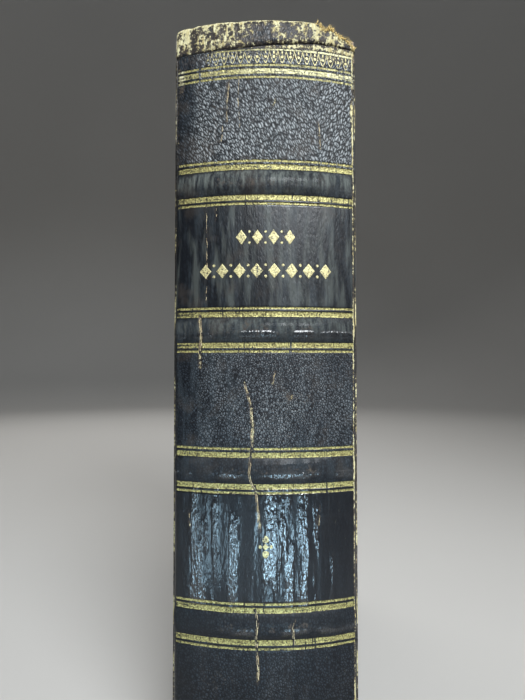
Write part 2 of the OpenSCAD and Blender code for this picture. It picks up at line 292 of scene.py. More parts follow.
POLISH_STREAKS = (
    PolishStreak(-21.8, 3.0, 0.95),
    PolishStreak(-16.4, 1.0, 0.60),
    PolishStreak(-10.4, 1.5, 0.75),
    PolishStreak(1.6, 2.2, 1.00),
    PolishStreak(6.8, 2.6, 1.00),
    PolishStreak(12.2, 1.9, 0.95),
    PolishStreak(16.4, 0.8, 0.80),
    PolishStreak(21.5, 0.8, 0.35),
)


class PanelFinish(Enum):
    """How the leather of each panel was left, from the tail up: grain, its pitch two ways, and polish."""

    TAIL = (0.56, 0.80, 0.95, 0.14)
    POLISHED = (0.10, 0.7, 1.6, 0.95)
    FINE = (0.74, 0.72, 0.92, 0.06)
    IRONED = (0.17, 0.8, 2.2, 0.16)
    COARSE = (1.15, 0.76, 1.70, 0.0)

    @property
    def grain(self) -> float:
        """Strength of the grain."""
        return self.value[0]

    @property
    def across(self) -> float:
        """Distance between grains across the panel, in millimetres."""
        return self.value[1]

    @property
    def along(self) -> float:
        """Distance between grains down the panel, in millimetres."""
        return self.value[2]

    @property
    def polish(self) -> float:
        """Polish, from 0 to 1."""
        return self.value[3]


def new_object(name: str, verts: Grid, faces: Sequence[Sequence[int]], smooth: bool = True) -> Piece:
    """Makes a mesh object with its place in its mesh.

    Args:
        name: the object's name.
        verts: the vertices in metres, one row each.
        faces: the corners of each face, turning outwards.
        smooth: whether the faces are shaded smooth.

    Returns:
        The linked object.
    """
    mesh = bpy.data.meshes.new(name)
    mesh.from_pydata([tuple(v) for v in verts], [], [tuple(f) for f in faces])
    mesh.validate()
    if smooth:
        mesh.shade_smooth()
    obj = bpy.data.objects.new(name, mesh)
    bpy.context.scene.collection.objects.link(obj)
    return obj


def grid_faces(rows: int, columns: int, close_rows: bool = False,
               close_columns: bool = False) -> list[tuple[int, ...]]:
    """Joins a grid whose vertices lie row after row.

    Args:
        rows: the number of rows.
        columns: the number of vertices in a row.
        close_rows: whether the last row joins the first.
        close_columns: whether the ends of each row join.

    Returns:
        The quads.
    """
    faces = []
    for i in range(rows if close_rows else rows - 1):
        for j in range(columns if close_columns else columns - 1):
            i1, j1 = (i + 1) % rows, (j + 1) % columns
            faces.append((i * columns + j, i * columns + j1, i1 * columns + j1, i1 * columns + j))
    return faces


def tube_faces(rows: int, size: int) -> list[tuple[int, ...]]:
    """Returns the faces of a closed tube whose sections of that size lie row after row."""
    faces = [f[::-1] for f in grid_faces(rows, size, close_columns=True)]
    return faces + [tuple(range(size)), tuple(range((rows - 1) * size, rows * size))[::-1]]


def round_turn(count: int) -> Grid:
    """Returns that many angles spread evenly over a full turn."""
    return np.linspace(0, 2 * math.pi, count, endpoint=False)


def report(obj: Piece) -> None:
    """Logs a finished piece."""
    log.info("%s: %d faces", obj.name, len(obj.data.polygons))


def store_values(obj: Piece, name: str, values: Grid) -> None:
    """Stores one number for each vertex under a name that materials read."""
    layer = obj.data.attributes.new(name, "FLOAT", "POINT")
    layer.data.foreach_set("value", values.astype(np.float32).ravel())


def store_plane(obj: Piece, name: str, planes: Sequence[Grid], choice: Grid) -> None:
    """Stores a UV map that may differ from face to face.

    Args:
        obj: the mesh object.
        name: the map's name.
        planes: one or more arrays with a pair of numbers for each vertex.
        choice: for each face, which of the planes it takes.
    """
    layer = obj.data.uv_layers.new(name=name)
    corners = np.empty(len(obj.data.loops), dtype=np.int32)
    obj.data.loops.foreach_get("vertex_index", corners)
    sizes = np.empty(len(obj.data.polygons), dtype=np.int32)
    obj.data.polygons.foreach_get("loop_total", sizes)
    picked = np.repeat(choice, sizes)
    pairs = np.stack([plane.reshape(-1, 2) for plane in planes])[picked, corners]
    layer.data.foreach_set("uv", pairs.astype(np.float32).ravel())


class NodeBench:
    """A short way to place and join nodes in one tree."""

    def __init__(self, tree: Tree) -> None:
        """Keeps the tree that nodes are added to."""
        self.tree = tree
        self.shader = tree.nodes.get("Principled BSDF")

    def node(self, kind: str, inputs: dict[Any, Any] | None = None, **settings: Any) -> bpy.types.Node:
        """Adds a node.

        Args:
            kind: the node's type.
            inputs: values or sockets for its inputs, by name or number.
            settings: the node's own properties.

        Returns:
            The node.
        """
        made = self.tree.nodes.new(kind)
        for key, value in settings.items():
            setattr(made, key, value)
        for key, value in (inputs or {}).items():
            self.feed(made.inputs[key], value)
        return made

    def feed(self, socket: Socket, value: Any) -> None:
        """Joins a socket to the input, or sets its value.

        Args:
            socket: the input.
            value: a socket, or a value of the input's own kind.
        """
        if isinstance(value, Socket):
            self.tree.links.new(value, socket)
        elif isinstance(value, tuple) and len(value) == 3 and socket.type == "RGBA":
            socket.default_value = (*value, 1.0)
        else:
            socket.default_value = value

    def math(self, operation: str, a: Any, b: Any = 0.0, clamp: bool = False) -> Socket:
        """Returns the result of a sum, product or the like."""
        made = self.node("ShaderNodeMath", {0: a, 1: b}, operation=operation, use_clamp=clamp)
        return made.outputs[0]

    def times(self, a: Any, b: Any) -> Socket:
        """Returns a times b."""
        return self.math("MULTIPLY", a, b)

    def plus(self, a: Any, b: Any, clamp: bool = False) -> Socket:
        """Returns a plus b."""
        return self.math("ADD", a, b, clamp)

    def minus(self, a: Any, b: Any) -> Socket:
        """Returns a minus b."""
        return self.math("SUBTRACT", a, b)

    def vector(self, operation: str, a: Any, b: Any = None) -> Socket:
        """Returns the result of a sum, a scaling or the like of vectors."""
        inputs = {0: a} if b is None else {0: a, 3 if operation == "SCALE" else 1: b}
        return self.node("ShaderNodeVectorMath", inputs, operation=operation).outputs[0]

    def axes(self, vector: Any) -> Any:
        """Returns the three parts of a vector."""
        return self.node("ShaderNodeSeparateXYZ", {0: vector}).outputs

    def bump(self, height: Any, strength: float, distance: float) -> Socket:
        """Returns normals that follow the height, whose full range is the distance in metres."""
        keys = {"Strength": strength, "Distance": distance, "Height": height}
        return self.node("ShaderNodeBump", keys).outputs["Normal"]

    def step(self, value: Any, low: Any, high: Any, to_low: Any = 0.0, to_high: Any = 1.0) -> Socket:
        """Returns a smooth rise from to_low to to_high as value goes from low to high."""
        keys = {"Value": value, "From Min": low, "From Max": high, "To Min": to_low, "To Max": to_high}
        return self.node("ShaderNodeMapRange", keys, interpolation_type="SMOOTHSTEP").outputs["Result"]

    def blend(self, share: Any, a: Any, b: Any) -> Socket:
        """Mixes two colours.

        Args:
            share: how far the mix lies towards the second colour.
            a: the first colour.
            b: the second colour.

        Returns:
            The mixed colour.
        """
        made = self.node("ShaderNodeMix", data_type="RGBA", clamp_factor=True)
        self.feed(made.inputs["Factor"], share)
        self.feed(made.inputs[6], a)
        self.feed(made.inputs[7], b)
        return made.outputs[2]

    def noise(self, vector: Any, scale: float, detail: float = 2.0, rough: float = 0.5) -> Socket:
        """Returns cloudy values round 0.5."""
        keys = {"Vector": vector, "Scale": scale, "Detail": detail, "Roughness": rough}
        return self.node("ShaderNodeTexNoise", keys).outputs["Fac"]

    def stretch(self, vector: Any, scale: Place) -> Any:
        """Returns the vector scaled along each axis."""
        return self.node("ShaderNodeMapping", {"Vector": vector, "Scale": scale}).outputs["Vector"]

    def value_of(self, name: str) -> Socket:
        """Returns the mesh's own value of that name."""
        return self.node("ShaderNodeAttribute", attribute_name=name).outputs["Fac"]

    def place_mm(self) -> Socket:
        """Returns the place on the object, in millimetres."""
        place = self.node("ShaderNodeTexCoord").outputs["Object"]
        return self.stretch(place, (1000.0, 1000.0, 1000.0))

    def group(self, tree: Tree, inputs: dict[str, Any]) -> Any:
        """Places a node group with its own values, and returns what it puts out."""
        return self.node("ShaderNodeGroup", inputs, node_tree=tree).outputs

    def shade(self, key: str, value: Any) -> None:
        """Feeds an input of the material's shader, or sets its value."""
        self.feed(self.shader.inputs[key], value)


VECTOR = ("NodeSocketVector", 0.0)
OBJECT = ("NodeSocketObject", None)


def number(default: float) -> tuple[str, float]:
    """Returns the kind and the default of an input that takes a number."""
    return "NodeSocketFloat", default


def new_group(name: str, takes: dict[str, tuple[str, float]],
              gives: Sequence[str]) -> tuple[Any, NodeBench, Any, Any]:
    """Starts a shader node group.

    Args:
        name: the group's name.
        takes: the inputs, each with its socket type and default.
        gives: the names of the numbers that it puts out.

    Returns:
        The group, a bench on it, what it is given and what it puts out.
    """
    tree = bpy.data.node_groups.new(name, "ShaderNodeTree")
    for key, (kind, default) in takes.items():
        socket = tree.interface.new_socket(key, in_out="INPUT", socket_type=kind)
        if kind == "NodeSocketFloat":
            socket.default_value = default
    for key in gives:
        tree.interface.new_socket(key, in_out="OUTPUT", socket_type="NodeSocketFloat")
    bench = NodeBench(tree)
    return tree, bench, bench.node("NodeGroupInput").outputs, bench.node("NodeGroupOutput").inputs


class Effects:
    """The shader groups that more than one finish uses."""

    def __init__(self) -> None:
        """Builds every group once."""
        self.pebbles = self._pebbles()
        self.rubbing = self._rubbing()
        self.foxing = self._foxing()
        self.edges = self._edges()
        self.weave = self._weave()

    def near_edge(self, bench: NodeBench, place: Any, finish: Any, reach: float) -> Socket:
        """Returns how close a place is, within the reach, to an edge of the box that the finish covers."""
        keys = {"Vector": place, "Low": finish.low, "High": finish.high, "Reach": reach}
        return bench.group(self.edges, keys)["Rub"]

    def _pebbles(self) -> Tree:
        """Builds the grain of leather: its height, its peaks and its creases.

        Returns:
            The node group.
        """
        takes = {"Vector": VECTOR, "Jitter": number(0.35)}
        tree, bench, given, out = new_group("leather_pebbles", takes, ("Height", "Peaks", "Creases"))
        wobble = bench.node("ShaderNodeTexNoise", {"Vector": given["Vector"], "Scale": 0.7, "Detail": 3.0})
        shift = bench.vector("SCALE", wobble.outputs["Color"], given["Jitter"])
        placed = bench.vector("ADD", given["Vector"], shift)
        keys = {"Vector": placed, "Scale": 1.0, "Smoothness": 0.22}
        near = bench.node("ShaderNodeTexVoronoi", keys, feature="SMOOTH_F1").outputs["Distance"]
        keys = {"Vector": placed, "Scale": 1.0}
        rim = bench.node("ShaderNodeTexVoronoi", keys, feature="DISTANCE_TO_EDGE").outputs["Distance"]
        dome = bench.step(near, 0.02, 0.62, 1.0, 0.0)
        fine = bench.noise(placed, 2.2, 4.0, 0.65)
        swell = bench.step(rim, 0.0, 0.34)
        height = bench.plus(bench.times(dome, 0.40), bench.times(swell, 0.42))
        bench.feed(out["Height"], bench.plus(height, bench.times(fine, 0.30)))
        broken = bench.step(fine, 0.36, 0.62, 0.30, 1.0)
        crown = bench.step(rim, 0.03, 0.27)
        bench.feed(out["Peaks"], bench.times(crown, broken))
        bench.feed(out["Creases"], bench.step(rim, 0.0, 0.13, 1.0, 0.0))
        return tree

    def _rubbing(self) -> Tree:
        """Finds where a rubbed amount has broken through, at two depths.

        Returns:
            The node group.
        """
        takes = {
            "Vector": VECTOR,
            "Amount": number(0.0),
            "Scale": number(1.0),
        }
        tree, bench, given, out = new_group("rubbed_through", takes, ("Scuffed", "Bare"))
        keys = {"Vector": given["Vector"], "Scale": given["Scale"], "Detail": 5.0, "Roughness": 0.65}
        cloud = bench.node("ShaderNodeTexNoise", keys).outputs["Fac"]
        spread = bench.minus(bench.step(cloud, 0.25, 0.75), 0.5)
        reach = bench.plus(given["Amount"], bench.times(spread, 0.55))
        bench.feed(out["Scuffed"], bench.step(reach, 0.28, 0.62))
        bench.feed(out["Bare"], bench.step(reach, 0.62, 0.80))
        return tree

    def _foxing(self) -> Tree:
        """Builds the spots and clouds of old paper.

        Returns:
            The node group.
        """
        takes = {"Vector": VECTOR}
        tree, bench, given, out = new_group("foxing", takes, ("Spots", "Clouds"))
        spots = bench.noise(given["Vector"], 0.35, 3.0, 0.6)
        clouds = bench.noise(given["Vector"], 0.03, 4.0, 0.6)
        bench.feed(out["Spots"], bench.step(spots, 0.66, 0.78))
        bench.feed(out["Clouds"], bench.step(clouds, 0.35, 0.7))
        return tree

    def _weave(self) -> Tree:
        """Builds the height of a plain weave in the YZ plane.

        Returns:
            The node group.
        """
        takes = {"Vector": VECTOR, "Pitch": number(0.6)}
        tree, bench, given, out = new_group("cloth_weave", takes, ("Height",))
        slip = bench.node("ShaderNodeTexNoise", {"Vector": given["Vector"], "Scale": 0.35, "Detail": 3.0})
        small = bench.vector("SCALE", slip.outputs["Color"], 0.5)
        axes = bench.axes(bench.vector("ADD", given["Vector"], small))
        turn = bench.math("DIVIDE", 2 * math.pi, given["Pitch"])
        warp = bench.math("SINE", bench.times(axes[1], turn))
        weft = bench.math("SINE", bench.times(axes[2], turn))
        crossed = bench.plus(bench.times(bench.times(warp, weft), 0.35), 0.5)
        fuzz = bench.noise(given["Vector"], 2.0, 3.0, 0.6)
        bench.feed(out["Height"], bench.plus(crossed, bench.times(fuzz, 0.2), clamp=True))
        return tree

    def _edges(self) -> Tree:
        """Finds how close a place is to an edge of a box, where handling rubs it.

        Returns:
            The node group.
        """
        takes = {
            "Vector": VECTOR,
            "Low": VECTOR,
            "High": VECTOR,
            "Reach": number(3.0),
        }
        tree, bench, given, out = new_group("edge_rub", takes, ("Rub",))
        place = given["Vector"]
        low = bench.vector("SUBTRACT", place, given["Low"])
        high = bench.vector("SUBTRACT", given["High"], place)
        axes = bench.axes(bench.vector("MINIMUM", low, high))
        least = bench.math("MINIMUM", axes[0], axes[1])
        most = bench.math("MAXIMUM", axes[0], axes[1])
        middle = bench.math("MAXIMUM", least, bench.math("MINIMUM", most, axes[2]))
        share = bench.math("DIVIDE", middle, given["Reach"])
        bench.feed(out["Rub"], bench.step(share, 0.0, 1.0, 1.0, 0.0))
        return tree


def new_material(name: str) -> tuple[Material, NodeBench]:
    """Makes a material.

    Args:
        name: the material's name.

    Returns:
        The material and a bench on its tree.
    """
    material = bpy.data.materials.new(name)
    material.use_nodes = True
    return material, NodeBench(material.node_tree)


@dataclass(frozen=True)
class LeatherFinish:
    """Black-brown calf over its tan core, with gilding laid on it."""

    name: str
    # Painted shade: the colour laid in the grain's creases, along the rule edges and in the cracks.
    crease: Colour = (0.003, 0.003, 0.004)
    dark: Colour = (0.0040, 0.0050, 0.0070)
    bloom: Colour = (0.022, 0.029, 0.035)
    # Painted glints on the grain's peaks: dim ones, and bright ones for the coarse panel at the head.
    painted_glint_dim: Colour = (0.040, 0.052, 0.066)
    painted_glint_bright: Colour = (0.262, 0.286, 0.300)
    brown: Colour = (0.052, 0.042, 0.034)
    # A pale chalky tone for soft streaks on the ironed panel, also used as painted light on the upper flanks of
    # the bands.
    chalk_and_painted_light: Colour = (0.120, 0.135, 0.125)
    tan: Colour = (0.36, 0.30, 0.14)
    cream: Colour = (0.58, 0.55, 0.34)
    gold: Colour = (0.47, 0.44, 0.18)
    pale_gold: Colour = (0.66, 0.64, 0.42)
    dull_gold: Colour = (0.13, 0.11, 0.045)
    grain_depth: float = 0.00019
    rough: float = 0.33
    polished_rough: float = 0.20

    def build(self, effects: Effects) -> Material:
        """Makes the spine leather, which reads the mesh's own values.

        Args:
            effects: the node groups that the finishes share.

        Returns:
            The material.
        """
        material, bench = new_material(self.name)
        place = bench.place_mm()
        plane = bench.node("ShaderNodeUVMap", uv_map="hide").outputs["UV"]
        rub, gilt = bench.value_of("rub"), bench.value_of("gilt")
        polish, strength = bench.value_of("polish"), bench.value_of("grain")
        grain = bench.group(effects.pebbles, {"Vector": plane, "Jitter": 0.38})
        peaks = bench.times(grain["Peaks"], strength)
        creases = bench.times(grain["Creases"], strength)
        lifted = bench.plus(rub, bench.times(bench.minus(peaks, 0.3), 0.16))
        worn = bench.group(effects.rubbing, {"Vector": place, "Amount": lifted, "Scale": 0.9})
        streaked = bench.stretch(place, (1.0, 1.0, 0.16))
        clouds = bench.step(bench.noise(streaked, 0.30, 5.0, 0.68), 0.44, 0.66)
        up = bench.axes(place)[2]
        colour = self._hide(bench, place, up, clouds, peaks, creases, strength)
        matt_and_band_light = bench.value_of("matt_and_band_light")
        # Painted light: a pale tone on the upper flanks of the upper bands, where the key lamp falls.
        painted_band_light = bench.times(matt_and_band_light, bench.step(bench.noise(streaked, 0.8, 4.0, 0.6), 0.35, 0.7))
        painted_band_light = bench.times(painted_band_light, bench.step(up, 112.0, 190.0, 0.03, 0.68))
        colour = bench.blend(painted_band_light, colour, self.chalk_and_painted_light)
        colour = bench.blend(bench.times(worn["Scuffed"], 0.8), colour, self.brown)
        bare = bench.blend(bench.step(bench.noise(streaked, 1.4, 4.0, 0.6), 0.35, 0.62), self.tan, self.cream)
        colour = bench.blend(worn["Bare"], colour, bare)
        gold_share = self._gold(bench, place, gilt, rub)
        leaf = bench.blend(bench.step(bench.noise(place, 2.2, 4.0, 0.7), 0.40, 0.64), self.dull_gold, self.gold)
        paler = bench.times(bench.step(up, 232.0, 240.0, 0.0, 0.8), bench.step(rub, 0.10, 0.50))
        leaf = bench.blend(paler, leaf, self.pale_gold)
        # Painted shade along the edges of the sunk rules and in the cracks, from the mesh's line value.
        colour = bench.blend(bench.value_of("line"), colour, self.crease)
        bench.shade("Base Color", bench.blend(gold_share, colour, leaf))
        rough = bench.step(polish, 0.0, 1.0, self.rough, self.polished_rough)
        for part, share in ((worn["Bare"], 0.35), (creases, 0.3), (matt_and_band_light, 0.36), (clouds, 0.12)):
            rough = bench.plus(rough, bench.times(part, share))
        mixed = bench.node("ShaderNodeMix", {0: gold_share, 2: rough, 3: 0.45}, data_type="FLOAT").outputs[0]
        bench.shade("Roughness", mixed)
        bench.shade("Metallic", bench.times(gold_share, 0.30))
        ungilt = bench.step(gold_share, 0.0, 1.0, 1.0, 0.1)
        bench.shade("Coat Weight", bench.times(polish, ungilt))
        bench.shade("Coat Roughness", 0.09)
        bench.shade("Coat IOR", 1.75)
        bench.shade("Specular IOR Level", 0.21)
        ripples = bench.noise(bench.stretch(place, (1.0, 1.0, 0.36)), 1.15, 2.4, 0.50)
        ripples = bench.times(ripples, bench.step(polish, 0.06, 0.6, 0.30, 2.2))
        height = bench.plus(ripples, self._relief(bench, place, grain, worn, strength, gold_share))
        for socket, relief in (("Normal", height), ("Coat Normal", ripples)):
            bench.shade(socket, bench.bump(relief, 1.0, self.grain_depth))
        return material

    def _hide(self, bench: NodeBench, place: Any, up: Any, clouds: Any, peaks: Any, creases: Any,
              strength: Any) -> Socket:
        """Colours sound leather: painted shade in the creases, a grey bloom and painted glints on the peaks,
        brown clouds, and a painted fall of light that dims the bloom and the brown towards the tail.

        Args:
            bench: the bench that adds the nodes.
            place: the place on the piece, in millimetres.
            up: the height on the spine.
            clouds: the clouds in the colour.
            peaks: where the grain's peaks are.
            creases: where the leather is creased.
            strength: the grain's strength.

        Returns:
            The colour.
        """
        # Painted fall of light: below the polished panel the bloom and the brown tint fade, so the lower spine
        # reads darker, as if less lit.
        lower = bench.step(up, 100.0, 112.0, 0.14, 1.0)
        haze = bench.plus(bench.times(clouds, 0.60), bench.times(peaks, 0.30), clamp=True)
        colour = bench.blend(bench.times(haze, lower), self.dark, self.bloom)
        # Painted glints: the peaks are lightened, most on the coarse panel, where the key lamp's reflection
        # would fall.
        painted_glint = bench.blend(bench.step(strength, 0.55, 1.05), self.painted_glint_dim, self.painted_glint_bright)
        colour = bench.blend(bench.times(peaks, 0.85), colour, painted_glint)
        # Painted shade in the grain's creases.
        colour = bench.blend(bench.times(creases, 0.55), colour, self.crease)
        ironed = bench.times(bench.step(up, 158.0, 163.0), bench.step(up, 193.0, 198.0, 1.0, 0.0))
        soft = bench.noise(bench.stretch(place, (1.0, 1.0, 0.14)), 0.36, 3.0, 0.55)
        soft = bench.step(soft, 0.47, 0.66, 0.0, 0.30)
        colour = bench.blend(bench.times(ironed, soft), colour, self.chalk_and_painted_light)
        tint = bench.step(bench.noise(place, 0.11, 4.0, 0.6), 0.52, 0.68, 0.0, 0.26)
        colour = bench.blend(bench.times(tint, lower), colour, self.brown)
        scratches = bench.noise(bench.stretch(place, (1.6, 1.6, 0.16)), 1.0, 5.0, 0.72)
        return bench.blend(bench.step(scratches, 0.68, 0.76, 0.0, 0.22), colour, self.cream)

    @staticmethod
    def _relief(bench: NodeBench, place: Any, grain: Any, worn: Any, strength: Any,
                gold_share: Any) -> Socket:
        """Builds up the surface: the grain, and fibres where it is bare.

        Args:
            bench: the bench that adds the nodes.
            place: the place on the piece, in millimetres.
            grain: the outputs of the grain's group.
            worn: the outputs of the rubbing's group.
            strength: the grain's strength.
            gold_share: how much gold lies there.

        Returns:
            The height.
        """
        height = bench.times(grain["Height"], strength)
        fibres = bench.noise(bench.stretch(place, (1.0, 1.0, 0.3)), 2.4, 5.0, 0.7)
        fray = bench.times(fibres, bench.plus(bench.times(worn["Bare"], 1.6), 0.12))
        height = bench.plus(height, fray)
        height = bench.minus(height, bench.times(worn["Bare"], 0.5))
        return bench.minus(height, bench.times(gold_share, 0.35))

    def _gold(self, bench: NodeBench, place: Any, gilt: Any, rub: Any) -> Socket:
        """Breaks the gold leaf by small losses.

        Args:
            bench: the bench that adds the nodes.
            place: the place on the piece, in millimetres.
            gilt: how much leaf was laid there.
            rub: how far the leather is rubbed.

        Returns:
            Where the leaf still lies.
        """
        specks = bench.noise(place, 1.5, 5.0, 0.75)
        lines = bench.noise(bench.stretch(place, (0.14, 0.14, 2.6)), 1.0, 4.0, 0.7)
        breaks = bench.noise(bench.stretch(place, (1.3, 1.3, 0.06)), 0.8, 4.0, 0.75)
        left = gilt
        for loss, start, most in ((specks, 0.47, 0.80), (lines, 0.54, 0.60), (breaks, 0.57, 0.95)):
            left = bench.minus(left, bench.step(loss, start, 0.66, 0.0, most))
        left = bench.minus(left, bench.times(rub, 0.30))
        return bench.step(left, 0.20, 0.55)


class SpineCovering:
    """The leather over the spine, as one closed shell with its bands, caps, rules and wear."""

    column_step = 0.52
    row_step = 0.5
    bevel = 0.12
    rule_sink = 0.10
    groove_share = 0.38
    lip_share = 0.95
    tear_w = 13.0
    tear_steps = (0, 0.06, 0.18, 0.3, 0.5, 0.72, 0.9, 1.0)
    tear_depths = (0, 1.2, 2.8, 2.0, 3.2, 4.4, 6.2, 6.9)
    rim_places = (-30, -20, -11.8, 0.0, 11.4, 17.0, 21.6, 30)
    rim_depths = (9.6, 9.55, 9.3, 8.5, 7.4, 6.9, 6.6, 7.0)
    rim_lowest = 9.6
    glossy_z = 83.0
    glossy_half = 24.0
    seam_x = 17.2

    def __init__(self, sizes: BookSizes) -> None:
        """Keeps the sizes and prepares the random heights.

        Args:
            sizes: the sizes of the book.
        """
        self.sizes = sizes
        self.slow = Mottle(11)
        self.quick = Mottle(23)

    def _plan(self) -> tuple[Grid, Grid, Grid]:
        """Draws the plan line from the back joint to the front one.

        Returns:
            Its points, its outward normals and the length from its middle.
        """
        s = self.sizes
        corner_x = s.side_x - s.edge_r
        turn = math.asin(corner_x / (s.spine_r - s.edge_r))
        centre = (corner_x, s.axis_y - (s.spine_r - s.edge_r) * math.cos(turn))
        wall = np.linspace(s.joint_y - 0.1, centre[1], 9)[:-1]
        right = [((s.side_x, y), (1.0, 0.0)) for y in wall]
        for a in np.linspace(0.0, turn - math.pi / 2, 9)[:-1]:
            normal = (math.cos(a), math.sin(a))
            right.append(((centre[0] + s.edge_r * normal[0], centre[1] + s.edge_r * normal[1]), normal))
        count = int(2 * turn * s.spine_r / self.column_step)
        crown = []
        for a in np.linspace(turn, -turn, count):
            normal = (math.sin(a), -math.cos(a))
            crown.append(((s.spine_r * normal[0], s.axis_y + s.spine_r * normal[1]), normal))
        mirrored = [((-p[0], p[1]), (-n[0], n[1])) for p, n in right[::-1]]
        line = [*right, *crown, *mirrored][::-1]
        points = np.array([p for p, _ in line])
        normals = np.array([n for _, n in line])
        steps = np.linalg.norm(np.diff(points, axis=0), axis=1)
        run = np.concatenate([[0.0], np.cumsum(steps)])
        return points, normals, run - run[-1] / 2

    def _outer_rows(self) -> Grid:
        """Places the rows between the caps, with a row at each edge of each rule.

        Returns:
            The heights of the rows.
        """
        s = self.sizes
        low, high = s.cap_h + s.crease, s.height - s.cap_h - s.crease
        marks = {low, high}
        for z, w in s.rules():
            marks.update((z - w / 2 - self.bevel, z - w / 2, z + w / 2, z + w / 2 + self.bevel))
        marks_sorted = sorted(m for m in marks if low <= m <= high)
        rows: list[float] = []
        for a, b in zip(marks_sorted[:-1], marks_sorted[1:]):
            rows += list(np.linspace(a, b, max(2, int(math.ceil((b - a) / self.row_step)) + 1))[:-1])
        return np.array([*rows, high])

    def _loop(self) -> tuple[Grid, Grid, Grid, Grid]:
        """Draws the section of the shell.

        Returns:
            How far out and how high each row lies, and its direction outwards and upwards.
        """
        s = self.sizes
        inner = -(s.cap_thick - s.cap_out)
        roll = s.cap_thick / 2
        middle = s.cap_out - roll
        cap: list[tuple[float, float, float, float]] = []
        shoulder = s.cap_out + s.crease
        for a in np.radians(np.linspace(90, 0, 9)):
            z = s.cap_h - shoulder + shoulder * math.sin(a)
            cap.append((s.cap_out - shoulder + shoulder * math.cos(a), z, math.cos(a), math.sin(a)))
        cap.append((s.cap_out, (s.cap_h - shoulder + roll) / 2, 1.0, 0.0))
        for a in np.radians(np.linspace(0, -180, 15)):
            cap.append((middle + roll * math.cos(a), roll + roll * math.sin(a), math.cos(a), math.sin(a)))
        cap += [(inner, z, -1.0, 0.0) for z in np.linspace(roll, s.turned_in, 6)[1:]]
        fold = inner + s.turned_leather
        cap += [(fold, z, 1.0, 0.0) for z in np.linspace(s.turned_in, s.card_end, 4)]
        cap.append((-s.leather, s.card_end, -1.0, 0.0))
        tail = cap[::-1]
        outer = [(0.0, z, 1.0, 0.0) for z in self._outer_rows()]
        head = [(o, s.height - z, no, -nz) for o, z, no, nz in cap]
        back = [(-s.leather, z, -1.0, 0.0) for z in np.linspace(s.height - s.card_end, s.card_end, 14)[1:-1]]
        rows = np.array([*tail, *outer, *head, *back])
        return rows[:, 0], rows[:, 1], rows[:, 2], rows[:, 3]

    def _fade(self, x: Grid) -> Grid:
        """Returns how much of a band's height is left towards the joints."""
        return 1 - smooth_step(0.45, 0.97, np.abs(x) / self.sizes.side_x)

    def _bands(self, x: Grid, z: Grid) -> Grid:
        """Shapes the raised bands.

        Args:
            x: places across the spine, in millimetres.
            z: heights, in millimetres.

        Returns:
            Their height, in millimetres.
        """
        s = self.sizes
        height = np.zeros_like(z)
        for i, middle in enumerate(s.bands):
            sway = 0.25 * (self.slow.at(x * 0.08 + 40 * i, x * 0) - 0.5)
            t = np.clip(np.abs(z - middle - sway) / s.band_half, 0, 1)
            height += s.band_h * (1 - t**2.4) ** 1.3 * (0.25 + 0.75 * self._fade(x))
        return height

    def _cracks(self, x: Grid, z: Grid) -> tuple[Grid, Grid]:
        """Cuts the cracks.

        Args:
            x: places across the spine, in millimetres.
            z: heights, in millimetres.

        Returns:
            Their depth, and how far their lips are rubbed.
        """
        depth, rub = np.zeros_like(z), np.zeros_like(z)
        jag = 0.5 * (self.quick.layered(z * 0.9, x * 0.15) - 0.5)
        for crack in CRACKS:
            for (x0, z0), (x1, z1) in zip(crack.points[:-1], crack.points[1:]):
                along = np.array([x1 - x0, z1 - z0])
                length = float(np.hypot(*along))
                t = np.clip(((x - x0) * along[0] + (z - z0) * along[1]) / length**2, 0, 1)
                gap = np.hypot(x + jag - x0 - t * along[0], z - z0 - t * along[1])
                depth = np.maximum(depth, crack.depth * hump(gap, 0.0, self.groove_share * crack.width))
                rub = np.maximum(rub, crack.rub * hump(gap, 0.0, self.lip_share * crack.width))
        return depth, rub

    def _cap_rub(self, x: Grid, z: Grid) -> Grid:
        """Rubs the caps, most along their rims and at their right ends.

        Args:
            x: places across the spine, in millimetres.
            z: heights, in millimetres.

        Returns:
            How far they are rubbed.
        """
        s = self.sizes
        from_head = s.height - z
        cap = 1 - smooth_step(s.cap_h - 1.0, s.cap_h + 2.2, np.minimum(from_head, z + 0.8))
        rub = 0.40 + 0.12 * (1 - smooth_step(-20, -6, x)) + 0.20 * self._furrows(x, z)
        rub += 0.24 * smooth_step(0.36, 0.66, self.quick.layered(x * 0.42, z * 0.30 + 15, 3))
        rub += 0.10 * smooth_step(2.0, 18.0, x)
        rub += 0.50 * (1 - smooth_step(0.1, 1.3, np.minimum(from_head, z)))
        return cap * rub * np.where(z > s.height / 2, 1.0, 0.85)

    def _head_rub(self, x: Grid, z: Grid) -> list[Grid]:
        """Rubs the leather near the head.

        Args:
            x: places across the spine, in millimetres.
            z: heights, in millimetres.

        Returns:
            The rubbing under the cap, on the border, on the rules and on the cap's rim.
        """
        s = self.sizes
        from_head = s.height - z
        border = hump(from_head, 11.5, 2.6) * (0.24 + 0.24 * smooth_step(-14, 6, x))
        rules = hump(from_head, s.edge_rule, 2.8) * (0.20 + 0.16 * smooth_step(-20, 12, x))
        return [
            hump(from_head, 8.4, 1.5) * (0.42 + 0.40 * smooth_step(-16, 14, x)),
            border * (0.5 + self.quick.layered(x * 0.6, z * 0.6, 3)),
            rules * (0.6 + 0.8 * self.quick.layered(x * 0.5, z * 0.5 + 30, 3)),
            hump(from_head, s.cap_h - 0.5, 0.8) * (0.30 + 0.5 * self.quick.layered(x * 0.4, z * 0.4, 3)),
        ]

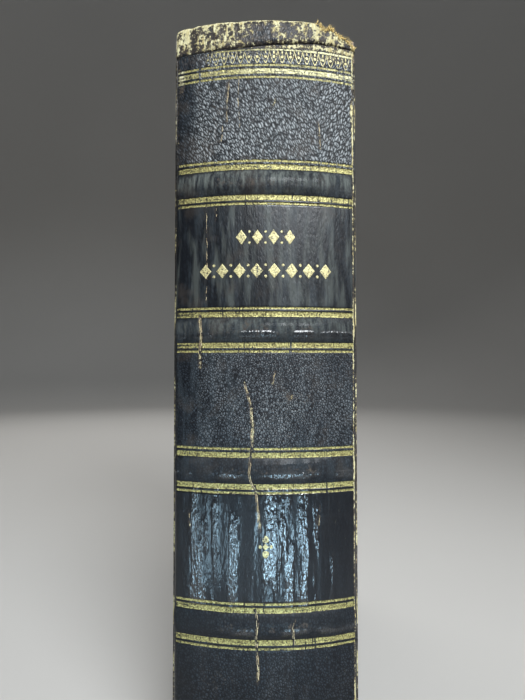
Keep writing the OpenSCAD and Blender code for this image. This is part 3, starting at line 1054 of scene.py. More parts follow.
    def _joint_rub(self, x: Grid, z: Grid, run: Grid) -> list[Grid]:
        """Rubs the leather beside the joints.

        Args:
            x: places across the spine, in millimetres.
            z: heights, in millimetres.
            run: the length along the plan line from its middle, in millimetres.

        Returns:
            The rubbing along both joints, more of it at the left, and next to the boards.
        """
        edge = run.max() - np.abs(run)
        line = hump(edge, 6.2, 0.55)
        patches = self.slow.layered(z * 0.09, x * 0 + 3, 4)
        upper_left = smooth_step(150, 240, z) * 0.35
        return [
            line * (0.45 + 0.75 * patches) * np.where(x > 0, 1.0, 0.35),
            line * np.where(x < 0, upper_left + 0.25 * patches, 0.0),
            (1 - smooth_step(0.0, 5.0, edge)) * (0.30 + 0.5 * patches) * 0.9,
        ]

    def _rub(self, x: Grid, z: Grid, run: Grid, out: Grid) -> Grid:
        """Gathers the rubbing of the whole spine.

        Args:
            x: places across the spine, in millimetres.
            z: heights, in millimetres.
            run: the length along the plan line from its middle, in millimetres.
            out: how far each place lies outside the spine's round, in millimetres.

        Returns:
            How far the leather is rubbed, from 0 to 1.
        """
        layers = [np.zeros_like(z), self._cap_rub(x, z), *self._head_rub(x, z), *self._joint_rub(x, z, run)]
        for scuff in SCUFFS:
            gap = np.hypot((x - scuff.x) / scuff.half_x, (z - scuff.z) / scuff.half_z)
            layers.append(scuff.rub * (1 - smooth_step(0.3, 1.3, gap)))
        crest = np.clip(self._bands(x, z) / self.sizes.band_h, 0, 1) ** 3
        layers.append(crest * 0.30 * self.quick.layered(x * 0.5, z * 0.2, 3) / 0.5)
        inside = out < -0.8
        return np.clip(np.where(inside, 0.25, np.maximum.reduce(layers)), 0, 1)

    def _gilt(self, x: Grid, z: Grid, out: Grid) -> Grid:
        """Lays the rules, dimmer where the photo shows them dim.

        Args:
            x: places across the spine, in millimetres.
            z: heights, in millimetres.
            out: how far each place lies outside the spine's round, in millimetres.

        Returns:
            How much leaf lies at each place.
        """
        s = self.sizes
        gilt = np.zeros_like(z)
        for middle, width in s.rules():
            inside = 1 - smooth_step(width / 2 + 0.01, width / 2 + self.bevel, np.abs(z - middle))
            left_end = 1 - smooth_step(-27.0, -20.0, x)
            dim = 0.0
            if width > s.fine and abs(middle - s.bands[2]) < 10:
                dim = 0.75
            elif width > s.fine and middle > s.height - 20:
                dim = 0.60
            elif width > s.fine:
                dim = 0.35
            elif middle > s.height - 13:
                dim = 1.0
                left_end = 1 - smooth_step(-20.0, -15.5, x)
            core = 1 - smooth_step(0.0, width / 2 - 0.15, np.abs(z - middle)) if width > s.fine else 1.0
            gilt = np.maximum(gilt, inside * (1 - dim * left_end * core))
        reach = 1 - smooth_step(s.side_x - 0.9, s.side_x - 0.3, np.abs(x))
        return np.where(out < -0.5, 0.0, gilt * reach)

    def _groove_shade(self, x: Grid, z: Grid, cracks: Grid) -> Grid:
        """Paints shade in lines along the edges of the sunk rules and in the cracks.

        Args:
            x: places across the spine, in millimetres.
            z: heights, in millimetres.
            cracks: the depth of the cracks.

        Returns:
            How much painted shade lies at each place.
        """
        # Painted shade in the cracks, darker where they are deeper.
        dark = np.clip(cracks / 0.25, 0, 0.8)
        for middle, width in self.sizes.rules():
            # Painted shade in a thin line just outside each rule's edge.
            gap = np.abs(np.abs(z - middle) - width / 2 - 0.28)
            dark = np.maximum(dark, 0.75 * hump(gap, 0.0, 0.20))
        return dark * (0.55 + 0.9 * (self.quick.layered(x * 0.3, z * 1.3, 2) - 0.3)).clip(0, 1)

    def _spans(self) -> list[Point]:
        """Measures each panel inside its rules.

        Returns:
            The lowest and highest place of each.
        """
        s = self.sizes
        found = []
        for low, high in s.panels:
            over_band, under_band = low > s.cap_h, high < s.height - s.cap_h
            found.append((low + s.bold_off * over_band, high - s.bold_off * under_band))
        return found

    def _panel_values(self, x: Grid, z: Grid) -> tuple[Grid, Grid]:
        """Gives each panel its grain and polish.

        Args:
            x: places across the spine, in millimetres.
            z: heights, in millimetres.

        Returns:
            The grain's strength and the polish.
        """
        s = self.sizes
        grain = np.full_like(z, 0.42)
        polish = np.full_like(z, 0.04)
        for (start, end), finish in zip(self._spans(), PanelFinish):
            inside = smooth_step(start, start + 1.2, z) * (1 - smooth_step(end - 1.2, end, z))
            grain = grain * (1 - inside) + finish.grain * inside
            polish = polish * (1 - inside) + finish.polish * inside
        polish *= self._streaks(x, z)
        on_band = np.clip(self._bands(x, z) / s.band_h, 0, 1)
        under = np.zeros_like(z)
        for middle in s.bands[:3]:
            under = np.maximum(under, hump(z, middle - 1.6, 1.1))
        broken = smooth_step(0.42, 0.60, self.slow.layered(x * 0.16, z * 0.1, 3))
        polish = np.maximum(polish, 0.9 * under * broken)
        grain = np.maximum(grain * (1 - on_band), 0.36 * on_band)
        cap = 1 - smooth_step(s.cap_h, s.cap_h + 1.5, np.minimum(z, s.height - z))
        grain = grain * (1 - cap) + 0.6 * cap
        polish *= 1 - cap
        grain *= 0.72 + 0.55 * self.slow.layered(x * 0.16 + 9, z * 0.07, 3)
        # Weaker grain towards the left edge, which also dims the painted glints there: painted shade down the
        # left side.
        grain *= 1 - 0.45 * (1 - smooth_step(-27.5, -19.5, x))
        return grain, polish

    def _streaks(self, x: Grid, z: Grid) -> Grid:
        """Breaks the polish into streaks down the spine.

        Args:
            x: places across the spine, in millimetres.
            z: heights, in millimetres.

        Returns:
            The share of it that is left.
        """
        wave = 1.6 * (self.slow.layered(z * 0.06, x * 0.02 + 30, 3) - 0.5)
        share = np.zeros_like(x)
        for streak in POLISH_STREAKS:
            gap = np.abs(x + wave - streak.x) / streak.half
            share = np.maximum(share, streak.strength * (1 - smooth_step(0.55, 1.15, gap)))
        broken = self.quick.layered(x * 0.55, z * 0.09 + 70, 3)
        return np.clip(0.80 * share * smooth_step(0.32, 0.56, broken) + 0.20, 0, 1)

    def _hide_planes(self, x: Grid, z: Grid) -> list[Grid]:
        """Lays the hide's grain on the spine in several ways.

        Args:
            x: places across the spine, in millimetres.
            z: heights, in millimetres.

        Returns:
            The plane of the grain for each way.
        """
        planes = [np.stack([x / 0.8, z / 1.1], axis=-1)]
        for (low, high), finish in zip(self.sizes.panels, PanelFinish):
            middle = (low + high) / 2
            leans = (0.46, -0.30) if finish is PanelFinish.COARSE else (0.10,)
            for lean in leans:
                bend = 0.9 * (self.slow.layered(x * 0.05 + low, z * 0.05, 2) - 0.5)
                across = x + lean * (z - middle) + 2.0 * bend
                planes.append(np.stack([across / finish.across, z / finish.along + 40 * lean], axis=-1))
        return planes

    def _hide_choice(self, x: Grid, z: Grid) -> Grid:
        """Chooses among the hide's planes.

        Args:
            x: places across the spine, in millimetres.
            z: heights, in millimetres.

        Returns:
            The number of the plane at each place.
        """
        s = self.sizes
        choice = np.zeros(x.shape, dtype=np.int32)
        for number_of, (start, end) in enumerate(self._spans(), 1):
            choice = np.where((z > start) & (z < end), number_of, choice)
        seam = self.seam_x + 1.2 * (self.slow.at(z * 0.3, z * 0 + 3) - 0.5)
        return np.where((choice == len(s.panels)) & (x > seam), len(s.panels) + 1, choice)

    def _furrows(self, x: Grid, z: Grid) -> Grid:
        """Draws the rolled leather of a cap into ridges.

        Args:
            x: places across the spine, in millimetres.
            z: heights, in millimetres.

        Returns:
            The ridges, from 0 to 1.
        """
        sway = 1.6 * self.slow.layered(x * 0.1, z * 0.15, 2)
        ridges = self.quick.layered((x + sway) * 1.1, z * 0.20 + 5, 3)
        return smooth_step(0.42, 0.72, ridges)

    def _skew_cap(self, x: Grid, z: Grid) -> Grid:
        """Lets the lower rim of the head cap sag as far as it does on the real book.

        Args:
            x: places across the spine, in millimetres.
            z: heights, in millimetres.

        Returns:
            The new heights.
        """
        s = self.sizes
        low, rim = s.height - 9.75, s.height - s.cap_h
        sag = np.interp(x, self.rim_places, self.rim_depths)
        sag += 0.5 * (self.slow.at(x * 0.35, x * 0 + 14) - 0.5)
        sag = s.height - np.minimum(sag, self.rim_lowest)
        below = low + (z - low) * (sag - low) / (rim - low)
        above = sag + (z - rim) * (s.height - sag) / (s.height - rim)
        return np.where(z < low, z, np.where(z < rim, below, above))

    def _tear(self, x: Grid, z: Grid) -> Grid:
        """Takes down the torn corner of the head cap.

        Args:
            x: places across the spine, in millimetres.
            z: heights, in millimetres.

        Returns:
            The new heights.
        """
        s = self.sizes
        t = np.clip((x - s.side_x + self.tear_w) / self.tear_w, 0, 1)
        shape = np.interp(t, self.tear_steps, self.tear_depths)
        jag = 1.6 * (self.quick.layered(x * 1.1, x * 0 + 2, 4) - 0.5)
        jag += 0.5 * (self.quick.at(x * 2.3, z * 2.0) - 0.5)
        limit = s.height - shape - np.where(t > 0, jag, 0)
        dip = 0.7 * (self.slow.layered(x * 0.22, x * 0 + 9, 3) - 0.5)
        return np.where(t > 0, np.minimum(z, limit), z) + np.where(z > s.height - 3, dip * (t == 0), 0)

    def build(self) -> Piece:
        """Builds the shell with its values, without a material.

        Returns:
            The shell.
        """
        s = self.sizes
        points, normals, run = self._plan()
        offset, level, dir_out, dir_up = self._loop()
        rows, columns = len(level), len(points)
        x = np.repeat(points[None, :, 0], rows, axis=0)
        length = np.repeat(run[None, :], rows, axis=0)
        z = np.repeat(level[:, None], columns, axis=1)
        out = np.repeat(offset[:, None], columns, axis=1)
        outer = (dir_out[:, None] > 0.3) & (out > -0.6)
        flat_part = 1 - smooth_step(0.80 * s.side_x, 0.93 * s.side_x, np.abs(x))
        out = np.where(out < -s.leather, -s.leather + (out + s.leather) * np.maximum(flat_part, 0.03), out)
        fade = self._fade(x)
        cap_lift = np.clip(out, 0, None) * (0.35 + 0.65 * fade) - np.clip(out, 0, None)
        wide = self.slow.layered(x * 0.10 + 3, z * 0.035, 3) - 0.5
        ripple = self.slow.layered(x * 0.42 + 60, z * 0.045 + 7, 3) - 0.5
        lumps = self.quick.layered(x * 0.45, z * 0.22 + 50, 4) - 0.5
        grain, polish = self._panel_values(x, z)
        planes = self._hide_planes(x, z)
        flat_x, flat_z = x.copy(), z.copy()
        near_cap = 1 - smooth_step(s.cap_h, s.cap_h + 3.0, np.minimum(z, s.height - z))
        cracks, lips = self._cracks(x, z)
        glossy = np.exp(-(((z - self.glossy_z) / self.glossy_half) ** 8))
        height = self._bands(x, z) + 0.30 * wide + (0.12 + 0.26 * glossy) * ripple
        height += near_cap * (0.55 * lumps + 0.16 * self._furrows(x, z)) - cracks
        gilt = self._gilt(x, z, out) * (1 - np.clip(cracks / 0.10, 0, 0.9))
        height -= self.rule_sink * np.clip(gilt * 1.5, 0, 1)
        rub = np.maximum(self._rub(x, z, length, out), np.where(outer, lips * (1 - gilt), 0))
        height = np.where(outer, height, 0) * smooth_step(0.0, 3.0, run.max() - np.abs(length))
        z = self._tear(x, self._skew_cap(x, z))
        reach = out + cap_lift + height * dir_out[:, None]
        px = x + normals[None, :, 0] * reach
        py = points[None, :, 1] + normals[None, :, 1] * reach
        pz = np.clip(z + height * dir_up[:, None] * 0.5, 0.0, None)
        verts = np.stack([px, py, pz], axis=-1).reshape(-1, 3) * MM
        faces = grid_faces(rows, columns, close_rows=True)
        faces.append(tuple(i * columns for i in range(rows)))
        faces.append(tuple(i * columns + columns - 1 for i in range(rows))[::-1])
        obj = new_object("spine_covering", verts, faces)
        for face in obj.data.polygons[-2:]:
            face.use_smooth = False
        # The line value: painted shade along the rule edges and in the cracks.
        line = np.where(outer, self._groove_shade(flat_x, flat_z, cracks), 0)
        above = np.max([smooth_step(-2.4, 0.6, flat_z - z) * (flat_z < z + 6) for z in s.bands], axis=0)
        on_band = smooth_step(0.0, 0.3, self._bands(flat_x, flat_z) / s.band_h)
        # This value makes the bands rougher and also carries the painted light on their upper flanks.
        matt_and_band_light = on_band * (1 - polish) * (0.3 + 0.7 * above)
        named = {"rub": rub, "gilt": gilt, "polish": polish, "grain": grain, "line": line, "matt_and_band_light": matt_and_band_light}
        for name, values in named.items():
            store_values(obj, name, values)
        middle_x = (flat_x + np.roll(flat_x, -1, axis=0))[:, :-1] / 2 + (flat_x[:, 1:] - flat_x[:, :-1]) / 2
        middle_z = (flat_z + np.roll(flat_z, -1, axis=0))[:, :-1] / 2
        choice = np.append(self._hide_choice(middle_x, middle_z).ravel(), (0, 0))
        store_plane(obj, "hide", planes, choice)
        return obj

    def dress(self, obj: Piece, finish: "LeatherFinish", effects: Effects) -> None:
        """Gives the shell its leather and hands it to the frame.

        Args:
            obj: the shell.
            finish: its leather.
            effects: the node groups that the finishes share.
        """
        obj.data.materials.append(finish.build(effects))
        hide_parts("spine_leather", "gilt_rules")
        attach(obj, Body.BLOCK.value)
        report(obj)


@dataclass(frozen=True)
class GildingFinish:
    """Gold leaf of the separate ornaments, with leather showing where it is lost."""

    name: str
    gold: Colour = (0.56, 0.52, 0.27)
    dull: Colour = (0.22, 0.18, 0.08)
    leather: Colour = (0.020, 0.018, 0.019)

    def build(self) -> Material:
        """Makes the gold, which reads how much leaf is left from the mesh.

        Returns:
            The material.
        """
        material, bench = new_material(self.name)
        place = bench.place_mm()
        kept = bench.value_of("kept")
        specks = bench.noise(place, 1.9, 4.0, 0.65)
        share = bench.step(bench.minus(kept, bench.step(specks, 0.43, 0.64, 0.0, 0.85)), 0.1, 0.4)
        leaf = bench.blend(bench.step(bench.noise(place, 3.0, 3.0, 0.6), 0.35, 0.6), self.dull, self.gold)
        bench.shade("Base Color", bench.blend(share, self.leather, leaf))
        bench.shade("Metallic", bench.times(share, 0.30))
        bench.shade("Roughness", 0.55)
        bench.shade("Normal", bench.bump(specks, 0.6, 0.00005))
        return material


@dataclass(frozen=True)
class CoverLeatherFinish:
    """Calf on the boards and corners, rubbed at the edges."""

    name: str
    low: Place
    high: Place
    dark: Colour = (0.016, 0.013, 0.013)
    bloom: Colour = (0.045, 0.042, 0.044)
    brown: Colour = (0.085, 0.048, 0.027)
    tan: Colour = (0.42, 0.27, 0.12)
    cream: Colour = (0.60, 0.50, 0.33)

    def build(self, effects: "Effects") -> Material:
        """Makes leather between the two corners of its board.

        Args:
            effects: the node groups that the finishes share.

        Returns:
            The material.
        """
        material, bench = new_material(self.name)
        place = bench.place_mm()
        grain = bench.group(effects.pebbles, {"Vector": bench.stretch(place, (1.1, 1.1, 0.8)), "Jitter": 0.6})
        edge = effects.near_edge(bench, place, self, 2.6)
        wide = bench.step(bench.noise(place, 0.05, 4.0, 0.6), 0.45, 0.75, 0.0, 0.45)
        amount = bench.plus(bench.times(edge, 0.62), wide)
        worn = bench.group(effects.rubbing, {"Vector": place, "Amount": amount, "Scale": 0.9})
        clouds = bench.step(bench.noise(bench.stretch(place, (1, 1, 0.4)), 0.2, 4.0, 0.6), 0.35, 0.7)
        haze = bench.plus(bench.times(clouds, 0.5), bench.times(grain["Peaks"], 0.5))
        colour = bench.blend(haze, self.dark, self.bloom)
        colour = bench.blend(bench.times(worn["Scuffed"], 0.8), colour, self.brown)
        bare = bench.blend(bench.noise(place, 1.3, 4.0, 0.6), self.tan, self.cream)
        colour = bench.blend(worn["Bare"], colour, bare)
        bench.shade("Base Color", colour)
        bench.shade("Roughness", bench.step(worn["Bare"], 0.0, 1.0, 0.44, 0.85))
        height = bench.plus(grain["Height"], bench.times(worn["Bare"], -0.5))
        bench.shade("Normal", bench.bump(height, 1.0, 0.00014))
        return material


@dataclass(frozen=True)
class ClothFinish:
    """Dark grained bookcloth of the sides, rubbed pale at the edges of the boards."""

    name: str
    low: Place
    high: Place
    thread: Colour = (0.060, 0.040, 0.030)
    gap: Colour = (0.018, 0.012, 0.010)
    worn: Colour = (0.30, 0.22, 0.14)
    pitch: float = 0.62

    def build(self, effects: "Effects") -> Material:
        """Makes cloth between the two corners of its board.

        Args:
            effects: the node groups that the finishes share.

        Returns:
            The material.
        """
        material, bench = new_material(self.name)
        place = bench.place_mm()
        weave = bench.group(effects.weave, {"Vector": place, "Pitch": self.pitch})
        edge = effects.near_edge(bench, place, self, 3.5)
        patches = bench.step(bench.noise(place, 0.035, 5.0, 0.62), 0.42, 0.8, 0.0, 0.55)
        amount = bench.plus(bench.times(edge, 0.55), patches)
        rubbed = bench.group(effects.rubbing, {"Vector": place, "Amount": amount, "Scale": 0.7})
        colour = bench.blend(weave["Height"], self.gap, self.thread)
        fade = bench.times(rubbed["Scuffed"], bench.times(weave["Height"], 0.4))
        colour = bench.blend(fade, colour, self.worn)
        colour = bench.blend(rubbed["Bare"], colour, (0.42, 0.33, 0.21))
        bench.shade("Base Color", colour)
        bench.shade("Roughness", 0.72)
        bench.shade("Normal", bench.bump(weave["Height"], 0.9, 0.00012))
        return material


@dataclass(frozen=True)
class PaperFinish:
    """Old paper of the endleaves, foxed and browned towards its edges."""

    name: str
    low: Place
    high: Place
    paper: Colour = (0.66, 0.56, 0.38)
    cloud: Colour = (0.56, 0.45, 0.28)
    brown: Colour = (0.36, 0.23, 0.11)

    def build(self, effects: "Effects") -> Material:
        """Makes the paper of a leaf between its two corners.

        Args:
            effects: the node groups that the finishes share.

        Returns:
            The material.
        """
        material, bench = new_material(self.name)
        place = bench.place_mm()
        fox = bench.group(effects.foxing, {"Vector": place})
        edge = effects.near_edge(bench, place, self, 16.0)
        colour = bench.blend(fox["Clouds"], self.paper, self.cloud)
        wavy = bench.times(edge, bench.step(bench.noise(place, 0.09, 4.0, 0.6), 0.3, 0.7, 0.3, 0.9))
        colour = bench.blend(wavy, colour, self.brown)
        colour = bench.blend(bench.times(fox["Spots"], 0.6), colour, self.brown)
        fibre = bench.noise(place, 2.2, 5.0, 0.7)
        colour = bench.blend(bench.step(fibre, 0.5, 0.8, 0.0, 0.25), colour, self.cloud)
        bench.shade("Base Color", colour)
        bench.shade("Roughness", 0.88)
        bench.shade("Normal", bench.bump(fibre, 0.5, 0.00006))
        return material


@dataclass(frozen=True)
class PageEdgeFinish:
    """The cut edges of the leaves, dusty at the head."""

    name: str
    pale: Colour = (0.60, 0.49, 0.31)
    dark: Colour = (0.27, 0.19, 0.10)
    dust: Colour = (0.20, 0.16, 0.11)

    def build(self, effects: "Effects") -> Material:
        """Makes the edges of the leaves, striped across X.

        Args:
            effects: the node groups that the finishes share.

        Returns:
            The material.
        """
        material, bench = new_material(self.name)
        place = bench.place_mm()
        leaves = bench.noise(bench.stretch(place, (6.5, 0.018, 0.018)), 1.0, 3.0, 0.7)
        folds = bench.noise(bench.stretch(place, (0.55, 0.02, 0.02)), 1.0, 2.0, 0.5)
        fox = bench.group(effects.foxing, {"Vector": bench.stretch(place, (1.6, 0.8, 0.8))})
        line = bench.step(leaves, 0.36, 0.62)
        colour = bench.blend(line, self.dark, self.pale)
        colour = bench.blend(bench.step(folds, 0.35, 0.65, 0.35, 0.0), colour, self.dark)
        colour = bench.blend(bench.times(fox["Clouds"], 0.45), colour, self.dust)
        up = bench.axes(place)[2]
        top = bench.step(up, 248.0, 252.6, 0.0, 0.35)
        colour = bench.blend(bench.plus(top, bench.times(fox["Spots"], 0.3)), colour, self.dust)
        bench.shade("Base Color", colour)
        bench.shade("Roughness", 0.9)
        bench.shade("Normal", bench.bump(leaves, 0.8, 0.00012))
        return material


@dataclass(frozen=True)
class FibreFinish:
    """Matted or twisted fibre, such as board, card, linen, hemp or bared leather."""

    name: str
    light: Colour
    dark: Colour
    scale: float = 0.4
    squeeze: Place = (1.0, 1.0, 1.0)
    rough: float = 0.85

    def build(self) -> Material:
        """Makes a fibrous, mottled material.

        Returns:
            The material.
        """
        material, bench = new_material(self.name)
        place = bench.place_mm()
        cloud = bench.noise(place, self.scale, 4.0, 0.6)
        strand = bench.noise(bench.stretch(place, self.squeeze), 3.0, 4.0, 0.7)
        mixed = bench.plus(bench.times(cloud, 0.5), bench.times(strand, 0.5))
        bench.shade("Base Color", bench.blend(bench.step(mixed, 0.35, 0.65), self.dark, self.light))
        bench.shade("Roughness", self.rough)
        bench.shade("Normal", bench.bump(strand, 0.7, 0.0001))
        return material


@dataclass(frozen=True)
class ThreadFinish:
    """Silk of the endbands, in two colours that alternate along the band."""

    name: str
    first: Colour = (0.30, 0.055, 0.035)
    second: Colour = (0.58, 0.49, 0.30)

    def build(self) -> Material:
        """Makes thread, which reads the stripe of each turn from the mesh.

        Returns:
            The material.
        """
        material, bench = new_material(self.name)
        place = bench.place_mm()
        dirt = bench.step(bench.noise(place, 0.5, 4.0, 0.6), 0.4, 0.75, 0.0, 0.55)
        colour = bench.blend(bench.value_of("stripe"), self.first, self.second)
        bench.shade("Base Color", bench.blend(dirt, colour, (0.10, 0.07, 0.05)))
        bench.shade("Roughness", 0.6)
        return material


ROW_INPUTS = {
    "Count": ("NodeSocketInt", 1),
    "Step angle": number(0.0),
    "Radius": number(0.0),
    "Axis": number(0.0),
    "Level": number(0.0),
}


class FieldTree:
    """A Geometry Nodes tree with named inputs, whose result becomes a plain mesh."""

    def __init__(self, name: str, takes: dict[str, tuple[str, Any]]) -> None:
        """Starts the tree.

        Args:
            name: the tree's name.
            takes: its inputs, each with a socket type and a default or None.
        """
        self.tree = bpy.data.node_groups.new(name, "GeometryNodeTree")
        self.keys: dict[str, str] = {}
        for key, (kind, default) in takes.items():
            socket = self.tree.interface.new_socket(key, in_out="INPUT", socket_type=kind)
            if default is not None:
                socket.default_value = default
            self.keys[key] = socket.identifier
        self.tree.interface.new_socket("Geometry", in_out="OUTPUT", socket_type="NodeSocketGeometry")
        self.bench = NodeBench(self.tree)
        self.given = self.bench.node("NodeGroupInput").outputs
        self.out = self.bench.node("NodeGroupOutput")

    def round_spine(self) -> tuple[Socket, Socket, Socket]:
        """Places points in a row round the spine's axis, from ROW_INPUTS.

        Returns:
            The points, the turn of each and its number.
        """
        bench, given = self.bench, self.given
        index = bench.node("GeometryNodeInputIndex").outputs[0]
        middle = bench.times(bench.minus(given["Count"], 1.0), 0.5)
        angle = bench.times(bench.minus(index, middle), given["Step angle"])
        x = bench.times(bench.math("SINE", angle), given["Radius"])
        y = bench.minus(given["Axis"], bench.times(bench.math("COSINE", angle), given["Radius"]))
        place = bench.node("ShaderNodeCombineXYZ", {0: x, 1: y, 2: given["Level"]}).outputs[0]
        points = bench.node("GeometryNodePoints", {"Count": given["Count"], "Position": place})
        return points.outputs[0], bench.node("ShaderNodeCombineXYZ", {2: angle}).outputs[0], index

    def plant(self, points: Any, motif: str, keys: dict[str, Any]) -> Socket:
        """Sets real copies of a motif on points.

        Args:
            points: the points.
            motif: the tree's input that holds the motif.
            keys: more inputs for the node that sets them.

        Returns:
            The copies.
        """
        shape = self.bench.node("GeometryNodeObjectInfo", {"Object": self.given[motif]}).outputs["Geometry"]
        keys = {"Points": points, "Instance": shape, **keys}
        placed = self.bench.node("GeometryNodeInstanceOnPoints", keys)
        return self.bench.node("GeometryNodeRealizeInstances", {0: placed.outputs[0]}).outputs[0]

    def close(self, geometry: Socket, material: Material) -> None:
        """Ends the tree with real geometry that carries the material."""
        dressed = self.bench.node("GeometryNodeSetMaterial", {"Geometry": geometry, "Material": material})
        self.bench.feed(self.out.inputs[0], dressed.outputs[0])

    def grow(self, name: str, host: Piece | None = None, **values: Any) -> Piece:
        """Runs the tree and keeps its result as a plain mesh.

        Args:
            name: the new object's name.
            host: an object whose mesh the tree starts from; it is removed.
            values: the inputs of this run.

        Returns:
            The new object, without modifiers.
        """
        host = host or new_object(f"{name}_host", np.zeros((1, 3)), [])
        modifier = host.modifiers.new(name, "NODES")
        modifier.node_group = self.tree
        for key, value in values.items():
            modifier[self.keys[key]] = value
        graph = bpy.context.evaluated_depsgraph_get()
        graph.update()
        shaped = host.evaluated_get(graph)
        mesh = bpy.data.meshes.new_from_object(shaped, preserve_all_data_layers=True, depsgraph=graph)
        bpy.data.objects.remove(host)
        obj = bpy.data.objects.new(name, mesh)
        bpy.context.scene.collection.objects.link(obj)
        return obj


def sweep_section(sizes: BookSizes, section: Sequence[Point], half_width: float,
                  count: int) -> tuple[Grid, list]:
    """Sweeps a closed outline round the spine's axis.

    Args:
        sizes: the sizes of the book.
        section: the outline as radius and height, turning anticlockwise.
        half_width: how far the sweep goes to each side at its first radius.
        count: the number of places along it.

    Returns:
        The vertices in millimetres and the faces, both ends closed.
    """
    turn = math.asin(min(1.0, half_width / section[0][0]))
    verts = [
        (r * math.sin(a), sizes.axis_y - r * math.cos(a), z)
        for a in np.linspace(-turn, turn, count)
        for r, z in section
    ]
    return np.array(verts), tube_faces(count, len(section))


class Ornaments:
    """The stamped ornaments: borders of loops, pearls and drops, two lines of lozenges and a fleuron."""

    stand = 0.05

    def __init__(self, sizes: BookSizes, leather: Piece) -> None:
        """Keeps the sizes and the leather that the ornaments lie on.

        Args:
            sizes: the sizes of the book.
            leather: the shell of the spine.
        """
        self.sizes = sizes
        self.leather = leather
        self.material = GildingFinish("stamped_gold").build()
        self.rows = self._row_tree()

    def _row_tree(self) -> FieldTree:
        """Builds the tree that repeats a motif along the spine and presses it on the leather.

        Returns:
            The tree.
        """
        takes = {
            "Motif": OBJECT,
            "Leather": OBJECT,
            **ROW_INPUTS,
        }
        field_tree = FieldTree("ornament_row", takes)
        points, turned, _ = field_tree.round_spine()
        real = field_tree.plant(points, "Motif", {"Rotation": turned})
        field_tree.close(self._press(field_tree.bench, real, field_tree.given), self.material)
        return field_tree

    @staticmethod
    def _press(bench: NodeBench, geometry: Any, given: Any) -> Any:
        """Moves every point along its radius, to be as high over the leather as over the round.

        Args:
            bench: the bench that adds the nodes.
            geometry: the motifs in their row.
            given: the inputs of the tree.

        Returns:
            The moved geometry.
        """
        position = bench.node("GeometryNodeInputPosition").outputs[0]
        parts = bench.axes(position)
        back = bench.minus(parts[1], given["Axis"])
        flat = bench.node("ShaderNodeCombineXYZ", {0: parts[0], 1: back}).outputs[0]
        radius = bench.node("ShaderNodeVectorMath", {0: flat}, operation="LENGTH").outputs["Value"]
        outwards = bench.vector("NORMALIZE", flat)
        start = bench.vector("ADD", position, bench.vector("SCALE", outwards, 0.004))
        inwards = bench.vector("SCALE", outwards, -1.0)
        leather = bench.node("GeometryNodeObjectInfo", {"Object": given["Leather"]}).outputs["Geometry"]
        keys = {"Target Geometry": leather, "Source Position": start, "Ray Direction": inwards}
        ray = bench.node("GeometryNodeRaycast", {**keys, "Ray Length": 0.009})
        raised = bench.vector("SCALE", outwards, bench.minus(radius, given["Radius"]))
        seat = bench.vector("ADD", ray.outputs["Hit Position"], raised)
        keys = {"Geometry": geometry, "Selection": ray.outputs["Is Hit"], "Position": seat}
        return bench.node("GeometryNodeSetPosition", keys).outputs[0]

    def _band_motif(self, name: str, outer: list[Point], inner: list[Point], closed: bool) -> Piece:
        """Draws a motif as a line between two outlines.

        Args:
            name: the object's name.
            outer: the outer outline.
            inner: the inner outline.
            closed: whether the line is a ring.

        Returns:
            The motif.
        """
        rows = []
        for (ox, oz), (ix, iz) in zip(outer, inner):
            edge_x, edge_z = 0.12 * (ix - ox), 0.12 * (iz - oz)
            rows += [(ox, 0.02, oz), (ox + edge_x, -self.stand, oz + edge_z)]
            rows += [(ix - edge_x, -self.stand, iz - edge_z), (ix, 0.02, iz)]
        count = len(outer)
        faces = grid_faces(count, 4, close_rows=closed)
        if not closed:
            faces += [(0, 1, 2, 3), tuple(range(count * 4 - 4, count * 4))[::-1]]
        return new_object(name, np.array(rows) * MM, faces)

    def _plate_motif(self, name: str, outline: list[Point]) -> Piece:
        """Makes a solid motif, a little domed.

        Args:
            name: the object's name.
            outline: its outline.

        Returns:
            The motif.
        """
        mid_x, mid_z = np.mean(outline, axis=0)
        rim = [(x, 0.02, z) for x, z in outline]
        top = [(mid_x + 0.8 * (x - mid_x), -self.stand, mid_z + 0.8 * (z - mid_z)) for x, z in outline]
        count = len(outline)
        faces = [(i, (i + 1) % count, count + (i + 1) % count, count + i) for i in range(count)]
        faces.append(tuple(range(count, 2 * count)))
        return new_object(name, np.array(rim + top) * MM, faces)

    def _loop_side(self, drop: float) -> list[Point]:
        """Draws one side of a hanging loop, from one neighbour to the next.

        Args:
            drop: how far it is set off from the loop's middle line, in millimetres.

        Returns:
            The outline.
        """
        s = self.sizes
        half = s.arch_pitch / 2
        places = half * np.sin(np.linspace(-math.pi / 2, math.pi / 2, 19))
        rises = [s.arch_h * (abs(x) / half) ** 1.7 + drop * (1 + 1.6 * abs(x) / half) for x in places]
        return [(float(x), float(z)) for x, z in zip(places, rises)]

    def _ring(self, x: float, z: float, r: float, count: int = 14) -> list[Point]:
        """Returns a circle's outline."""
        return [(x + r * math.cos(a), z + r * math.sin(a)) for a in round_turn(count)]

    def _lay(self, name: str, motif: Piece, count: int, step: float, level: float) -> Piece:
        """Lays a row of a motif on the leather.

        Args:
            name: the object's name.
            motif: the motif.
            count: how many there are.
            step: the turn from one to the next, in radians.
            level: the height of the row, in millimetres.

        Returns:
            The row.
        """
        s = self.sizes
        keys = {"Motif": motif, "Leather": self.leather, "Count": count, "Step angle": step,
                "Radius": s.spine_r * MM, "Axis": s.axis_y * MM, "Level": level * MM}
        return self.rows.grow(name, **keys)

    def _join(self, name: str, rows: list[Piece]) -> Piece:
        """Joins rows into one object.

        Args:
            name: the object's name.
            rows: the rows.

        Returns:
            The object.
        """
        bpy.ops.object.select_all(action="DESELECT")
        for row in rows:
            row.select_set(True)
        bpy.context.view_layer.objects.active = rows[0]
        if len(rows) > 1:
            bpy.ops.object.join()
        rows[0].name = name
        return rows[0]

